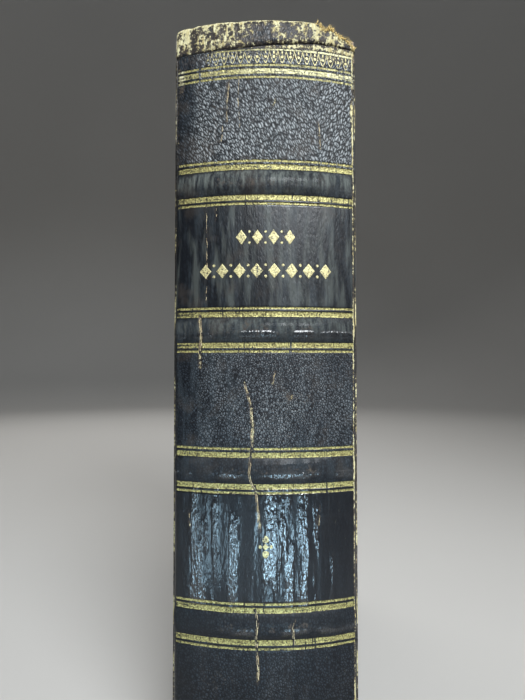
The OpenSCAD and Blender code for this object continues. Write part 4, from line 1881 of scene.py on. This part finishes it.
    def border(self, at_head: bool) -> Piece:
        """Builds the border of loops, pearls and drops.

        Args:
            at_head: whether it is the head's border or the tail's.

        Returns:
            The border.
        """
        s = self.sizes
        base = s.edge_rule - s.rule_pitch - s.fine / 2 - s.border_gap
        level = s.height - base if at_head else base
        flip = 1.0 if at_head else -1.0
        line = 0.21
        drop = [(0.0, 2.75), (0.30, 3.3), (0.16, 4.1), (-0.16, 4.1), (-0.30, 3.3)]
        shapes = [self._loop_side(line + 0.1), self._loop_side(0.1 - line), self._ring(0, 2.1, 0.52), drop]
        shapes = [[(x, flip * z) for x, z in part] for part in shapes]
        if not at_head:
            shapes = [part[::-1] for part in shapes]
        loop = self._band_motif("loop_motif", shapes[0], shapes[1], closed=False)
        step = 2 * math.atan(s.arch_pitch / 2 / s.spine_r)
        count = 2 * int(math.asin((s.side_x - 1.3) / s.spine_r) / step - 0.5) + 1
        rows = [self._lay("loops", loop, count, step, level)]
        rows += [self._row_of(part[::-1], count, step, level) for part in shapes[2:]]
        bpy.data.objects.remove(loop)
        return self._join("gilt_head_loops" if at_head else "gilt_tail_loops", rows)

    def _row_of(self, outline: list[Point], count: int, step: float, level: float) -> Piece:
        """Lays a row of one solid motif.

        Args:
            outline: its outline.
            count: how many there are.
            step: the turn from one to the next, in radians.
            level: the height of the row, in millimetres.

        Returns:
            The row.
        """
        motif = self._plate_motif("motif", outline)
        row = self._lay("row", motif, count, step, level)
        bpy.data.objects.remove(motif)
        return row

    def title(self) -> Piece:
        """Builds the two lines of lozenges with dots between them.

        Returns:
            The ornament.
        """
        s = self.sizes
        middle = (s.bands[2] + s.bands[3]) / 2 + 0.6
        rows = []
        for count, width, level in ((4, 3.6, middle + 5.5), (8, 4.0, middle - 5.5)):
            step = 2 * math.atan((width + 1.7) / 2 / s.spine_r)
            lozenge = [(-width / 2, 0.0), (0.0, -2.6), (width / 2, 0.0), (0.0, 2.6)]
            rows.append(self._row_of(lozenge, count, step, level))
            for side in (-1, 1):
                dot = self._ring(0, side * 1.82, width / 8, 10)
                rows.append(self._row_of(dot, count - 1, step, level))
        return self._join("gilt_lozenge_rows", rows)

    def fleuron(self) -> Piece:
        """Builds the small ornament of two petals and two pearls round a lozenge.

        Returns:
            The ornament.
        """
        s = self.sizes
        level = (s.bands[0] + s.bands[1]) / 2 + 0.6
        width = 4.4
        shapes = [[(-1.1, 0.0), (0.0, -1.1), (1.1, 0.0), (0.0, 1.1)]]
        for side in (-1, 1):
            petal = [(0.85 * x * (1.25 - 0.35 * z * side), side * width * 0.55 + 1.2 * z)
                     for x, z in self._ring(0, 0, 1.0, 16)]
            shapes.append(petal)
            shapes.append(self._ring(side * width * 0.4, 0, width * 0.125, 12))
        return self._join("gilt_small_fleuron", [self._row_of(shape, 1, 0.1, level) for shape in shapes])

    def _keep(self, obj: Piece, losses: Sequence[tuple[float, float, float, float, float]]) -> None:
        """Stores how much leaf is left on each point.

        Args:
            obj: the ornament.
            losses: the x and z of each loss, its half sizes and its share.
        """
        place = np.array([v.co for v in obj.data.vertices]) / MM
        kept = np.full(len(place), 0.95)
        for x, z, half_x, half_z, share in losses:
            gap = np.hypot((place[:, 0] - x) / half_x, (place[:, 2] - z) / half_z)
            kept -= share * (1 - smooth_step(0.5, 1.2, gap))
        store_values(obj, "kept", np.clip(kept, 0, 1))

    def build(self) -> None:
        """Makes, dresses and hands over every ornament."""
        pieces = (
            (self.border(True), "gilt_head_border",
             ((-26, 243, 9.0, 9, 0.9), (-3.5, 246, 5.0, 2.2, 0.7), (-12, 247, 9, 1.6, 0.5),
              (24, 245, 3.0, 3, 0.4))),
            (self.border(False), "gilt_tail_border", ((-24, 12, 5.0, 9, 0.6), (8, 10.5, 4, 2, 0.5))),
            (self.title(), "gilt_title_ornament", ((-2, 173, 2.5, 2, 0.35),)),
            (self.fleuron(), "gilt_fleuron", ((-1.5, 86.5, 1.6, 1.6, 0.55),)),
        )
        for obj, node, losses in pieces:
            self._keep(obj, losses)
            obj.data.shade_flat()
            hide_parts(node)
            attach(obj, Body.BLOCK.value)
            report(obj)


class LeafBlock:
    """The leaves as one solid, with a step from leaf to leaf on every cut edge."""

    strip = 0.24
    block_r = 84.5
    shoulder = 29.1
    lap_y = -77.65
    hollow = 6.0

    def __init__(self, sizes: BookSizes) -> None:
        """Reads the block's reach from the frame.

        Args:
            sizes: the sizes of the book.
        """
        self.sizes = sizes
        low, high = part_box("text_block")
        self.low_z, self.high_z, self.fore_y = low[2] / MM, high[2] / MM, high[1] / MM
        self.half = -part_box("back_flyleaf")[1][0] / MM
        self.noise = Mottle(71)

    def _drift(self, across: float, along: float) -> float:
        """Returns a slow random height from 0 to 1."""
        return self.noise.at(np.array([across]), np.array([along]))[0]

    def _column(self, x: float, seed: float, fore_y: float, fold: float) -> list[Place]:
        """Draws the loop of one leaf's edge: the tail, the fore-edge, the head and the folds.

        Args:
            x: its place across the block, in millimetres.
            seed: its place in the random heights.
            fore_y: where its fore-edge lies, in millimetres.
            fold: how far it is set back, as a share.

        Returns:
            The places of the loop.
        """
        back_y = self.sizes.axis_y - math.sqrt(self.block_r**2 - x * x)
        tail = np.linspace(0, 1, 14)
        side = np.linspace(0, 1, 26)[1:-1]
        loop = []
        deep = 0.30 * fold + 0.22 * self._drift(seed * 1.7, 3.3)
        for t in tail:
            slow = 0.25 * self._drift(x * 0.12, t * 5)
            loop.append((x, back_y + (fore_y - back_y) * t, self.low_z + 0.5 * (deep + slow)))
        for t in side:
            slow = 0.5 * self._drift(x * 0.12 + 20, t * 9)
            loop.append((x, fore_y - deep - slow, self.low_z + (self.high_z - self.low_z) * t))
        for t in tail[::-1]:
            slow = 0.45 * self._drift(x * 0.12 + 40, t * 5)
            loop.append((x, back_y + (fore_y - back_y) * t, self.high_z - deep - slow))
        for t in side[::-1]:
            loop.append((x, back_y, self.low_z + (self.high_z - self.low_z) * t))
        return loop

    def build(self, effects: Effects) -> None:
        """Makes, dresses and hands over the block.

        Args:
            effects: the node groups that the finishes share.
        """
        rng = np.random.default_rng(5)
        count = int(2 * self.half / self.strip)
        edges = np.linspace(-self.half, self.half, count + 1)
        fore_r = (self.half**2 + self.hollow**2) / (2 * self.hollow)
        loops = [self._column(x, 0.0, self.lap_y, 0.0) for x in (-self.shoulder, -self.half)]
        for k in range(count):
            gathering = k % 9
            fold = 1.0 if gathering == 0 else 0.12 * rng.random()
            jitter = 0.16 * rng.random()
            for x in (edges[k], edges[k + 1]):
                fore = self.fore_y - self.hollow + fore_r - math.sqrt(fore_r**2 - x * x)
                loops.append(self._column(x, float(k), fore, fold + jitter))
        loops += [self._column(x, 1.0, self.lap_y, 0.0) for x in (self.half, self.shoulder)]
        verts = np.array([p for loop in loops for p in loop]) * MM
        obj = new_object("leaves", verts, tube_faces(len(loops), len(loops[0])), smooth=False)
        obj.data.materials.append(PageEdgeFinish("cut_edges").build(effects))
        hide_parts("text_block")
        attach(obj, Body.BLOCK.value)
        report(obj)


class Endbands:
    """The sewn bands at the head and the tail: turns of silk over a core, on a strip of cloth."""

    bead_r = 1.35
    thread_r = 0.24
    pitch = 0.46
    reach = 25.8

    def __init__(self, sizes: BookSizes) -> None:
        """Keeps the sizes and prepares the tree that winds the thread.

        Args:
            sizes: the sizes of the book.
        """
        self.sizes = sizes
        self.radius = 83.55
        self.material = ThreadFinish("endband_silk").build()
        self.winding = self._winding()

    def _winding(self) -> FieldTree:
        """Builds the tree that sets turns of thread side by side along the core.

        Returns:
            The tree.
        """
        takes = {
            "Turn": OBJECT,
            **ROW_INPUTS,
            "Stripe turns": number(3.0),
        }
        field_tree = FieldTree("endband_winding", takes)
        bench, given = field_tree.bench, field_tree.given
        points, turned, index = field_tree.round_spine()
        stripe = bench.math("FLOOR", bench.math("DIVIDE", index, given["Stripe turns"]))
        shade = bench.math("MODULO", stripe, 2.0)
        keys = {"Geometry": points, "Name": "stripe", "Value": shade}
        marked = bench.node("GeometryNodeStoreNamedAttribute", keys, data_type="FLOAT", domain="POINT")
        keys = {2: 0.94, 3: 1.06, "Seed": 4}
        wobble = bench.node("FunctionNodeRandomValue", keys, data_type="FLOAT").outputs[1]
        real = field_tree.plant(marked.outputs[0], "Turn", {"Rotation": turned, "Scale": wobble})
        smooth = bench.node("GeometryNodeSetShadeSmooth", {0: real}).outputs[0]
        field_tree.close(smooth, self.material)
        return field_tree

    def _turn(self) -> Piece:
        """Makes one turn of thread round the core.

        Returns:
            The turn.
        """
        verts = []
        for a in round_turn(14):
            for b in round_turn(6):
                r = self.bead_r + self.thread_r * math.cos(b)
                verts.append((self.thread_r * math.sin(b), r * math.cos(a), r * math.sin(a)))
        faces = grid_faces(14, 6, close_rows=True, close_columns=True)
        return new_object("thread_turn", np.array(verts) * MM, faces)

    def build(self, name: str, node: str, at_head: bool) -> None:
        """Makes one endband and hands it over.

        Args:
            name: the object's name.
            node: the node that it stands for.
            at_head: whether it is the head's or the tail's.
        """
        s = self.sizes
        level = s.height - s.square + 1.13 if at_head else s.square - 1.13
        step = self.pitch / self.radius
        count = int(2 * math.asin(self.reach / self.radius) / step)
        turn = self._turn()
        keys = {"Turn": turn, "Count": count, "Step angle": step, "Radius": self.radius * MM,
                "Axis": s.axis_y * MM, "Level": level * MM}
        obj = self.winding.grow(name, **keys)
        bpy.data.objects.remove(turn)
        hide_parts(node)
        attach(obj, Body.BLOCK.value)
        self._core(name, at_head, level)
        report(obj)

    def _core(self, name: str, at_head: bool, level: float) -> None:
        """Makes the core that shows at the ends and the cloth that carries it.

        Args:
            name: the name of the endband.
            at_head: whether it is the head's or the tail's.
            level: the height of the core, in millimetres.
        """
        s = self.sizes
        sign = 1.0 if at_head else -1.0
        circle = [(self.radius + 1.3 * math.cos(a), level + 1.3 * math.sin(a))
                  for a in round_turn(12)]
        skirt = [(84.62, level), (84.62, level - sign * 8.0), (84.88, level - sign * 8.0), (84.88, level)]
        if not at_head:
            skirt = skirt[::-1]
        parts = [sweep_section(s, circle, 26.3, 60), sweep_section(s, skirt, 26.3, 60)]
        offset = len(parts[0][0])
        verts = np.vstack([parts[0][0], parts[1][0]]) * MM
        faces = list(parts[0][1]) + [tuple(i + offset for i in f) for f in parts[1][1]]
        core = new_object(f"{name}_core", verts, faces)
        core.data.materials.append(FibreFinish(f"{name}_cloth", (0.52, 0.44, 0.28), (0.30, 0.23, 0.13)).build())
        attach(core, Body.BLOCK.value)


class Joints:
    """The leather that bridges each joint, cracked open low down on the front side."""

    thickness = 0.30
    by_the_spine = ((0.02, -2.6), (0.10, -1.9), (0.14, -1.2), (0.20, -0.7), (0.34, -0.32), (0.55, -0.1))
    by_the_board = ((-0.2, 0.02), (0.02, 0.25), (0.12, 0.8), (0.12, 1.6), (0.02, 2.4))

    def __init__(self, sizes: BookSizes) -> None:
        """Keeps the sizes and prepares the random edges."""
        self.sizes = sizes
        self.noise = Mottle(37)

    def _line(self) -> list[Point]:
        """Draws the outer line of the bridge in plan.

        Returns:
            The line, from the spine's wall to the board.
        """
        s = self.sizes
        line = [(s.side_x + x, s.joint_y + y) for x, y in self.by_the_spine]
        return line + [(s.face_x + x, s.joint_y + y) for x, y in self.by_the_board]

    def build(self, name: str, side: int, body: Body, broken: Sequence[Point], effects: Effects) -> None:
        """Makes one bridge.

        Args:
            name: the piece's name.
            side: 1 for the front joint and -1 for the back one.
            body: the cover beside it; not used.
            broken: lengths of the joint, as lowest and highest place, where the leather is cracked through.
            effects: the shared shader groups.
        """
        s = self.sizes
        line = self._line()
        levels = np.arange(0.6, s.height - 7.6, 0.9)
        across, verts, rub = len(line), [], []
        for z in levels:
            ragged = 0.22 * (self.noise.layered(np.array([z * 0.5]), np.array([side * 4.0]), 3)[0] - 0.5)
            for i, (x, y) in enumerate(line):
                swell = 0.10 * (self.noise.at(np.array([z * 0.25]), np.array([i * 0.5]))[0] - 0.5)
                verts.append((side * (x + swell), y + (ragged if 0 < i < across - 1 else 0), z))
                patch = self.noise.layered(np.array([z * 0.12]), np.array([i * 0.45 + 9]), 4)[0]
                rub.append((0.75 if 4 <= i <= 8 else 0.45) * (0.25 + 1.2 * patch))
        faces, split = [], across // 2
        for r in range(len(levels) - 1):
            cracked = any(low <= levels[r] <= high for low, high in broken)
            for i in range(across - 1):
                if cracked and i in (split - 1, split):
                    continue
                quad = (r * across + i, r * across + i + 1, (r + 1) * across + i + 1, (r + 1) * across + i)
                faces.append(quad if side > 0 else quad[::-1])
        obj = new_object(name, np.array(verts) * MM, faces)
        store_values(obj, "rub", np.array(rub))
        for key, value in (("gilt", 0.0), ("polish", 0.1), ("grain", 0.5), ("line", 0.0)):
            store_values(obj, key, np.full(len(verts), value))
        plane = np.array(verts)[:, 1:] / (0.8, 1.0)
        store_plane(obj, "hide", [plane], np.zeros(len(faces), dtype=np.int32))
        obj.data.materials.append(LeatherFinish(f"{name}_calf").build(effects))
        wall = obj.modifiers.new("wall", "SOLIDIFY")
        wall.thickness = self.thickness * MM
        wall.offset = 1.0
        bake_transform(obj)
        report(obj)


class Frays:
    """Loose fibres that stand out of the torn leather at the head, thickest in one tuft."""

    edge_count = 9
    tuft_count = 26
    tuft = (18.4, 22.4)
    reach = 13.4
    twist = 3.14159

    def __init__(self, sizes: BookSizes) -> None:
        """Keeps the sizes and builds the tree that plants the fibres.

        Args:
            sizes: the sizes of the book.
        """
        self.sizes = sizes
        self.material = FibreFinish("bared_fibres", (0.74, 0.58, 0.24), (0.44, 0.31, 0.11), 0.9).build()
        self.planting = self._planting()

    def _planting(self) -> FieldTree:
        """Builds the tree that plants fibres on a mesh, each turned and scaled its own way.

        Returns:
            The tree.
        """
        takes = {
            "Geometry": ("NodeSocketGeometry", None),
            "Fibre": OBJECT,
            "Shortest": number(0.4),
            "Longest": number(1.4),
            "Spread": number(1.1),
        }
        field_tree = FieldTree("fibre_planting", takes)
        bench, given = field_tree.bench, field_tree.given
        keys = {0: given["Spread"], 1: given["Spread"], 2: self.twist}
        lean = bench.node("ShaderNodeCombineXYZ", keys).outputs[0]
        back = bench.vector("SCALE", lean, -1.0)
        turn = bench.node("FunctionNodeRandomValue", {0: back, 1: lean, "Seed": 3}, data_type="FLOAT_VECTOR")
        keys = {2: given["Shortest"], 3: given["Longest"], "Seed": 8}
        size = bench.node("FunctionNodeRandomValue", keys, data_type="FLOAT")
        keys = {"Rotation": turn.outputs[0], "Scale": size.outputs[1]}
        real = field_tree.plant(given["Geometry"], "Fibre", keys)
        smooth = bench.node("GeometryNodeSetShadeSmooth", {0: real}).outputs[0]
        field_tree.close(smooth, self.material)
        return field_tree

    def _fibre(self) -> Piece:
        """Makes one curled, tapering fibre, 2 mm long, standing on the origin.

        Returns:
            The fibre.
        """
        verts, sides, count = [], 4, 6
        for i in range(count):
            t = i / (count - 1)
            r = 0.15 * (1 - 0.75 * t)
            x, z = 0.45 * t * t, 2.0 * t - 0.3 * t * t - 0.15
            for a in round_turn(sides):
                verts.append((x + r * math.cos(a), r * math.sin(a) + 0.15 * math.sin(3 * t), z))
        faces = grid_faces(count, sides, close_columns=True)
        faces += [tuple(range(sides))[::-1], tuple(range((count - 1) * sides, count * sides))]
        return new_object("fibre", np.array(verts) * MM, faces)

    def build(self, leather: Piece) -> None:
        """Plants fibres along the torn edge of the cap.

        Args:
            leather: the shell of the spine.
        """
        s = self.sizes
        place = np.array([v.co for v in leather.data.vertices]) / MM
        torn = place[(place[:, 0] > s.side_x - self.reach) & (place[:, 1] < s.joint_y - 1.0)]
        rng = np.random.default_rng(9)
        roots = []
        for low in np.arange(s.side_x - self.reach, s.side_x - 0.2, 0.30):
            near = torn[(torn[:, 0] >= low) & (torn[:, 0] < low + 0.6)]
            if not len(near):
                continue
            top = near[:, 2].max()
            rim = near[near[:, 2] > top - 0.5]
            for _ in range(self.tuft_count if self.tuft[0] < low < self.tuft[1] else self.edge_count):
                root = rim[rng.integers(len(rim))]
                roots.append(root + rng.normal(0, 0.16, 3) - (0, 0, 0.1))
        host = new_object("fibre_roots", np.array(roots) * MM, [])
        fibre = self._fibre()
        obj = self.planting.grow("torn_cap_fibres", host, Fibre=fibre, Shortest=0.35, Longest=1.0, Spread=1.1)
        bpy.data.objects.remove(fibre)
        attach(obj, Body.BLOCK.value)
        report(obj)


class CrackLips:
    """Slivers of pale torn leather along the cracks, pressed on the leather."""

    step = 0.28
    widest = 0.34

    def __init__(self, leather: Piece) -> None:
        """Prepares the search for the leather's surface.

        Args:
            leather: the shell of the spine.
        """
        graph = bpy.context.evaluated_depsgraph_get()
        graph.update()
        self.surface = BVHTree.FromObject(leather, graph)
        self.noise = Mottle(53)
        self.verts: list[Place] = []
        self.faces: list[tuple[int, ...]] = []

    def _press(self, x: float, z: float, lift: float) -> Place | None:
        """Finds the surface behind a point.

        Args:
            x: the point's place across the spine, in millimetres.
            z: its height, in millimetres.
            lift: how far off the surface, in millimetres.

        Returns:
            The place, or None where there is no leather.
        """
        hit = self.surface.ray_cast(Vector((x * MM, -0.2, z * MM)), Vector((0.0, 1.0, 0.0)))
        if hit[0] is None:
            return None
        return tuple(hit[0] + hit[1] * (lift * MM))

    def _sliver(self, crack: Crack, side: int, shift: float, full: float) -> None:
        """Adds one ragged sliver beside a crack.

        Args:
            crack: the crack.
            side: 1 for its right lip, -1 for its left.
            shift: how far beside the crack it lies, in millimetres.
            full: its full width, in millimetres.
        """
        points = np.array(crack.points)
        runs = np.concatenate([[0.0], np.cumsum(np.hypot(*np.diff(points, axis=0).T))])
        places = np.arange(0.0, runs[-1], self.step)
        x, z = np.interp(places, runs, points[:, 0]), np.interp(places, runs, points[:, 1])
        jag = 0.55 * (self.noise.layered(z * 0.9, x * 0.2 + 7, 3) - 0.5)
        thick = self.noise.layered(z * 0.8, x * 0.5 + 21 + 9 * side, 3)
        taper = np.minimum(1.0, np.minimum(places, runs[-1] - places) / 1.6)
        width = full * np.clip((thick - 0.30) * 3.0, 0.0, 1.0) * taper
        previous = None
        for px, pz, half in zip(x + jag + shift, z, width / 2):
            if half < 0.02:
                previous = None
                continue
            profile = ((-half, -0.02), (0.0, 0.06), (half, -0.02))
            row = [self._press(px + aside, pz, lift) for aside, lift in profile]
            if any(place is None for place in row):
                previous = None
                continue
            first = len(self.verts)
            self.verts += row
            if previous is not None:
                low, high = previous, first
                self.faces += [(low + 1, low, high, high + 1), (low + 2, low + 1, high + 1, high + 2)]
            previous = first

    def build(self) -> None:
        """Makes the slivers of every crack as one piece."""
        for crack in CRACKS:
            full = self.widest * (0.35 + 0.9 * crack.rub)
            self._sliver(crack, 1, 0.16, full)
            if crack.depth > 0.12:
                self._sliver(crack, -1, -0.30, 0.6 * full)
        obj = new_object("crack_lips", np.array(self.verts), self.faces)
        obj.data.materials.append(FibreFinish("torn_lips", (0.66, 0.58, 0.38), (0.26, 0.18, 0.09), 1.1).build())
        wall = obj.modifiers.new("wall", "SOLIDIFY")
        wall.thickness = 0.05 * MM
        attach(obj, Body.BLOCK.value)
        report(obj)


class Boards:
    """The two covers and the sheets inside them, which keep the shapes of the frame."""

    past_faces = 60.0

    def __init__(self, nodes: dict[str, Piece], effects: Effects) -> None:
        """Keeps the frame's objects and the shared shader groups."""
        self.nodes = nodes
        self.effects = effects

    def _dress(self, node: str, material: Material, soften: float = 0.0) -> None:
        """Gives a node its material and rounds its edges.

        Args:
            node: the node's name.
            material: its material.
            soften: the width of the rounding, in millimetres.
        """
        obj = self.nodes[node]
        obj.data.materials.clear()
        obj.data.materials.append(material)
        if soften:
            weld = obj.modifiers.new("weld", "WELD")
            weld.merge_threshold = 0.01 * MM
            bevel = obj.modifiers.new("soften", "BEVEL")
            bevel.width = soften * MM
            bevel.segments = 3
            bevel.limit_method = "ANGLE"
            bevel.angle_limit = math.radians(40)

    def build(self) -> None:
        """Dresses both covers and the endleaves."""
        for side in ("front", "back"):
            low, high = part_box(f"{side}_leather")
            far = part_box(f"{side}_cloth")[1]
            corners = tuple(c / MM for c in low), (high[0] / MM, far[1] / MM, high[2] / MM)
            calf = CoverLeatherFinish(f"{side}_board_calf", *corners).build(self.effects)
            for node in ("leather", "head_corner", "tail_corner"):
                self._dress(f"{side}_{node}", calf, 0.5)
            self._dress(f"{side}_cloth", ClothFinish(f"{side}_bookcloth", *corners).build(self.effects), 0.2)
            light, dark = (0.42, 0.33, 0.21), (0.22, 0.16, 0.09)
            board = FibreFinish(f"{side}_pulp_board", light, dark, 0.3, (3, 0.4, 0.4))
            self._dress(f"{side}_board", board.build())
            for node in ("pastedown", "flyleaf"):
                low, high = ([c / MM for c in corner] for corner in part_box(f"{side}_{node}"))
                low[0] -= self.past_faces
                high[0] += self.past_faces
                paper = PaperFinish(f"{side}_{node}_paper", tuple(low), tuple(high))
                self._dress(f"{side}_{node}", paper.build(self.effects))
            log.info("%s cover dressed", side)


class HiddenParts:
    """What the leather hides: cords, lining, card and the strips in the bands."""

    def __init__(self, nodes: dict[str, Piece]) -> None:
        """Keeps the frame's objects."""
        self.nodes = nodes

    def build(self) -> None:
        """Gives every hidden node the look of its own fibre."""
        hemp = FibreFinish("hemp_cord", (0.46, 0.37, 0.22), (0.22, 0.16, 0.08), 0.8, (0.5, 2.0, 2.0)).build()
        linen = FibreFinish("open_linen", (0.60, 0.52, 0.36), (0.40, 0.32, 0.20), 0.6, (1.0, 1.0, 1.0)).build()
        card = FibreFinish("grey_card", (0.40, 0.32, 0.22), (0.26, 0.20, 0.13), 0.3, (1.0, 1.0, 0.3)).build()
        looks = {"sewing_cord": hemp, "spine_lining": linen, "spine_card": card, "band_core": card}
        for name, node in self.nodes.items():
            for start, material in looks.items():
                if name.startswith(start):
                    node.data.materials.clear()
                    node.data.materials.append(material)
        log.info("hidden parts dressed")


class Studio:
    """The pale floor and backdrop, the lamps and the camera."""

    def __init__(self, sizes: BookSizes) -> None:
        """Keeps the sizes."""
        self.sizes = sizes

    def build(self) -> None:
        """Makes everything that is not part of the book."""
        self._world()
        self._floor()
        self._lamps()
        self._camera()
        bpy.context.scene.view_settings.view_transform = "Standard"

    def _world(self) -> None:
        """Fills the room with soft light."""
        world = bpy.data.worlds.new("room")
        world.use_nodes = True
        shine = world.node_tree.nodes["Background"]
        shine.inputs["Color"].default_value = (0.86, 0.90, 0.95, 1.0)
        shine.inputs["Strength"].default_value = 0.30
        bpy.context.scene.world = world

    def _floor(self) -> None:
        """Lays a pale round floor that curves up into a backdrop on every side."""
        reach, radius, top, turns = 1.5, 0.7, 3.0, 72
        line = [(0.02, 0.0), (0.6, 0.0), (reach, 0.0)]
        for a in np.linspace(-math.pi / 2, 0, 16)[1:]:
            line.append((reach + radius * math.cos(a), radius + radius * math.sin(a)))
        line.append((reach + radius, top))
        turn = round_turn(turns)
        verts = [(r * math.cos(a), r * math.sin(a), z) for r, z in line for a in turn]
        faces = grid_faces(len(line), turns, close_columns=True) + [tuple(range(turns))]
        floor = new_object("floor", np.array(verts), faces)
        material, bench = new_material("pale_paper_sweep")
        place = bench.node("ShaderNodeTexCoord").outputs["Object"]
        tone = bench.step(bench.noise(place, 1.2, 2.0), 0.3, 0.7)
        colour = bench.blend(tone, (0.52, 0.51, 0.49), (0.55, 0.54, 0.52))
        bench.shade("Base Color", colour)
        bench.shade("Roughness", 0.85)
        floor.data.materials.append(material)

    def _lamp(self, name: str, size: Point, power: float, place: Place,
              aim: Place, colour: Colour = (1.0, 1.0, 1.0)) -> Piece:
        """Hangs one rectangular lamp, turned to its aim.

        Args:
            name: the lamp's name.
            size: its width and height.
            power: its power, in watts.
            place: where it hangs.
            aim: the point that it is turned to.
            colour: the colour of its light.

        Returns:
            The lamp.
        """
        light = bpy.data.lights.new(name, "AREA")
        light.shape = "RECTANGLE"
        light.size, light.size_y = size
        light.energy = power
        light.color = colour
        lamp = bpy.data.objects.new(name, light)
        lamp.location = place
        lamp.rotation_euler = (Vector(aim) - Vector(place)).to_track_quat("-Z", "Y").to_euler()
        lamp.visible_camera = False
        bpy.context.scene.collection.objects.link(lamp)
        return lamp

    def _lamps(self) -> None:
        """Hangs the key lamp over the camera, the fills, and the small ones that the polished panel mirrors."""
        place, aim = (0.20, -0.72, 0.565), (0.0, -0.08, 0.19)
        key = self._lamp("key_lamp", (0.60, 0.22), 2.45, place, aim, (0.93, 0.97, 1.0))
        key.data.spread = math.radians(70)
        self._lamp("side_lamp", (0.5, 0.9), 1.8, (0.9, -0.25, 0.5), (0.0, -0.05, 0.12), (1.0, 0.97, 0.92))
        self._lamp("back_lamp", (0.9, 0.6), 6.0, (-0.35, 0.95, 0.95), (0.0, 0.1, 0.1), (1.0, 0.98, 0.95))
        for name, x, power in (("low_lamp", 0.016, 0.0088), ("low_left_lamp", -0.084, 0.0050)):
            place, aim = (x, -0.2085, 0.038), (0.4 * x, -0.088, 0.082)
            low = self._lamp(name, (0.028, 0.044), power, place, aim, (0.50, 0.79, 1.0))
            low.data.spread = math.radians(52)

    def _camera(self) -> None:
        """Places the camera as it stood for the photograph."""
        data = bpy.data.cameras.new("camera")
        data.sensor_fit = "VERTICAL"
        data.sensor_height = 36.0
        data.lens = 26.0
        data.clip_start = 0.01
        camera = bpy.data.objects.new("camera", data)
        camera.location = (-0.0010, -0.25225, 0.1423)
        camera.rotation_euler = (math.pi / 2 + 0.0288, 0.0, 0.0)
        bpy.context.scene.collection.objects.link(camera)
        bpy.context.scene.camera = camera


def main() -> None:
    """Builds and dresses every piece of the book in order."""
    logging.basicConfig(level=logging.INFO, format="%(name)s: %(message)s")
    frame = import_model()
    sizes = BookSizes.of_frame()
    effects = Effects()
    covering = SpineCovering(sizes)
    leather = covering.build()
    covering.dress(leather, LeatherFinish("spine_calf"), effects)
    Ornaments(sizes, leather).build()
    Frays(sizes).build(leather)
    CrackLips(leather).build()
    LeafBlock(sizes).build(effects)
    bands = Endbands(sizes)
    bands.build("head_band_silk", "head_endband", True)
    bands.build("tail_band_silk", "tail_endband", False)
    joints = Joints(sizes)
    joints.build("front_joint", 1, Body.FRONT, ((0.0, 69.0), (74.0, 80.0), (118.0, 127.0)), effects)
    joints.build("back_joint", -1, Body.BACK, (), effects)
    Boards(frame["nodes"], effects).build()
    HiddenParts(frame["nodes"]).build()
    Studio(sizes).build()


if __name__ == "__main__":
    main()
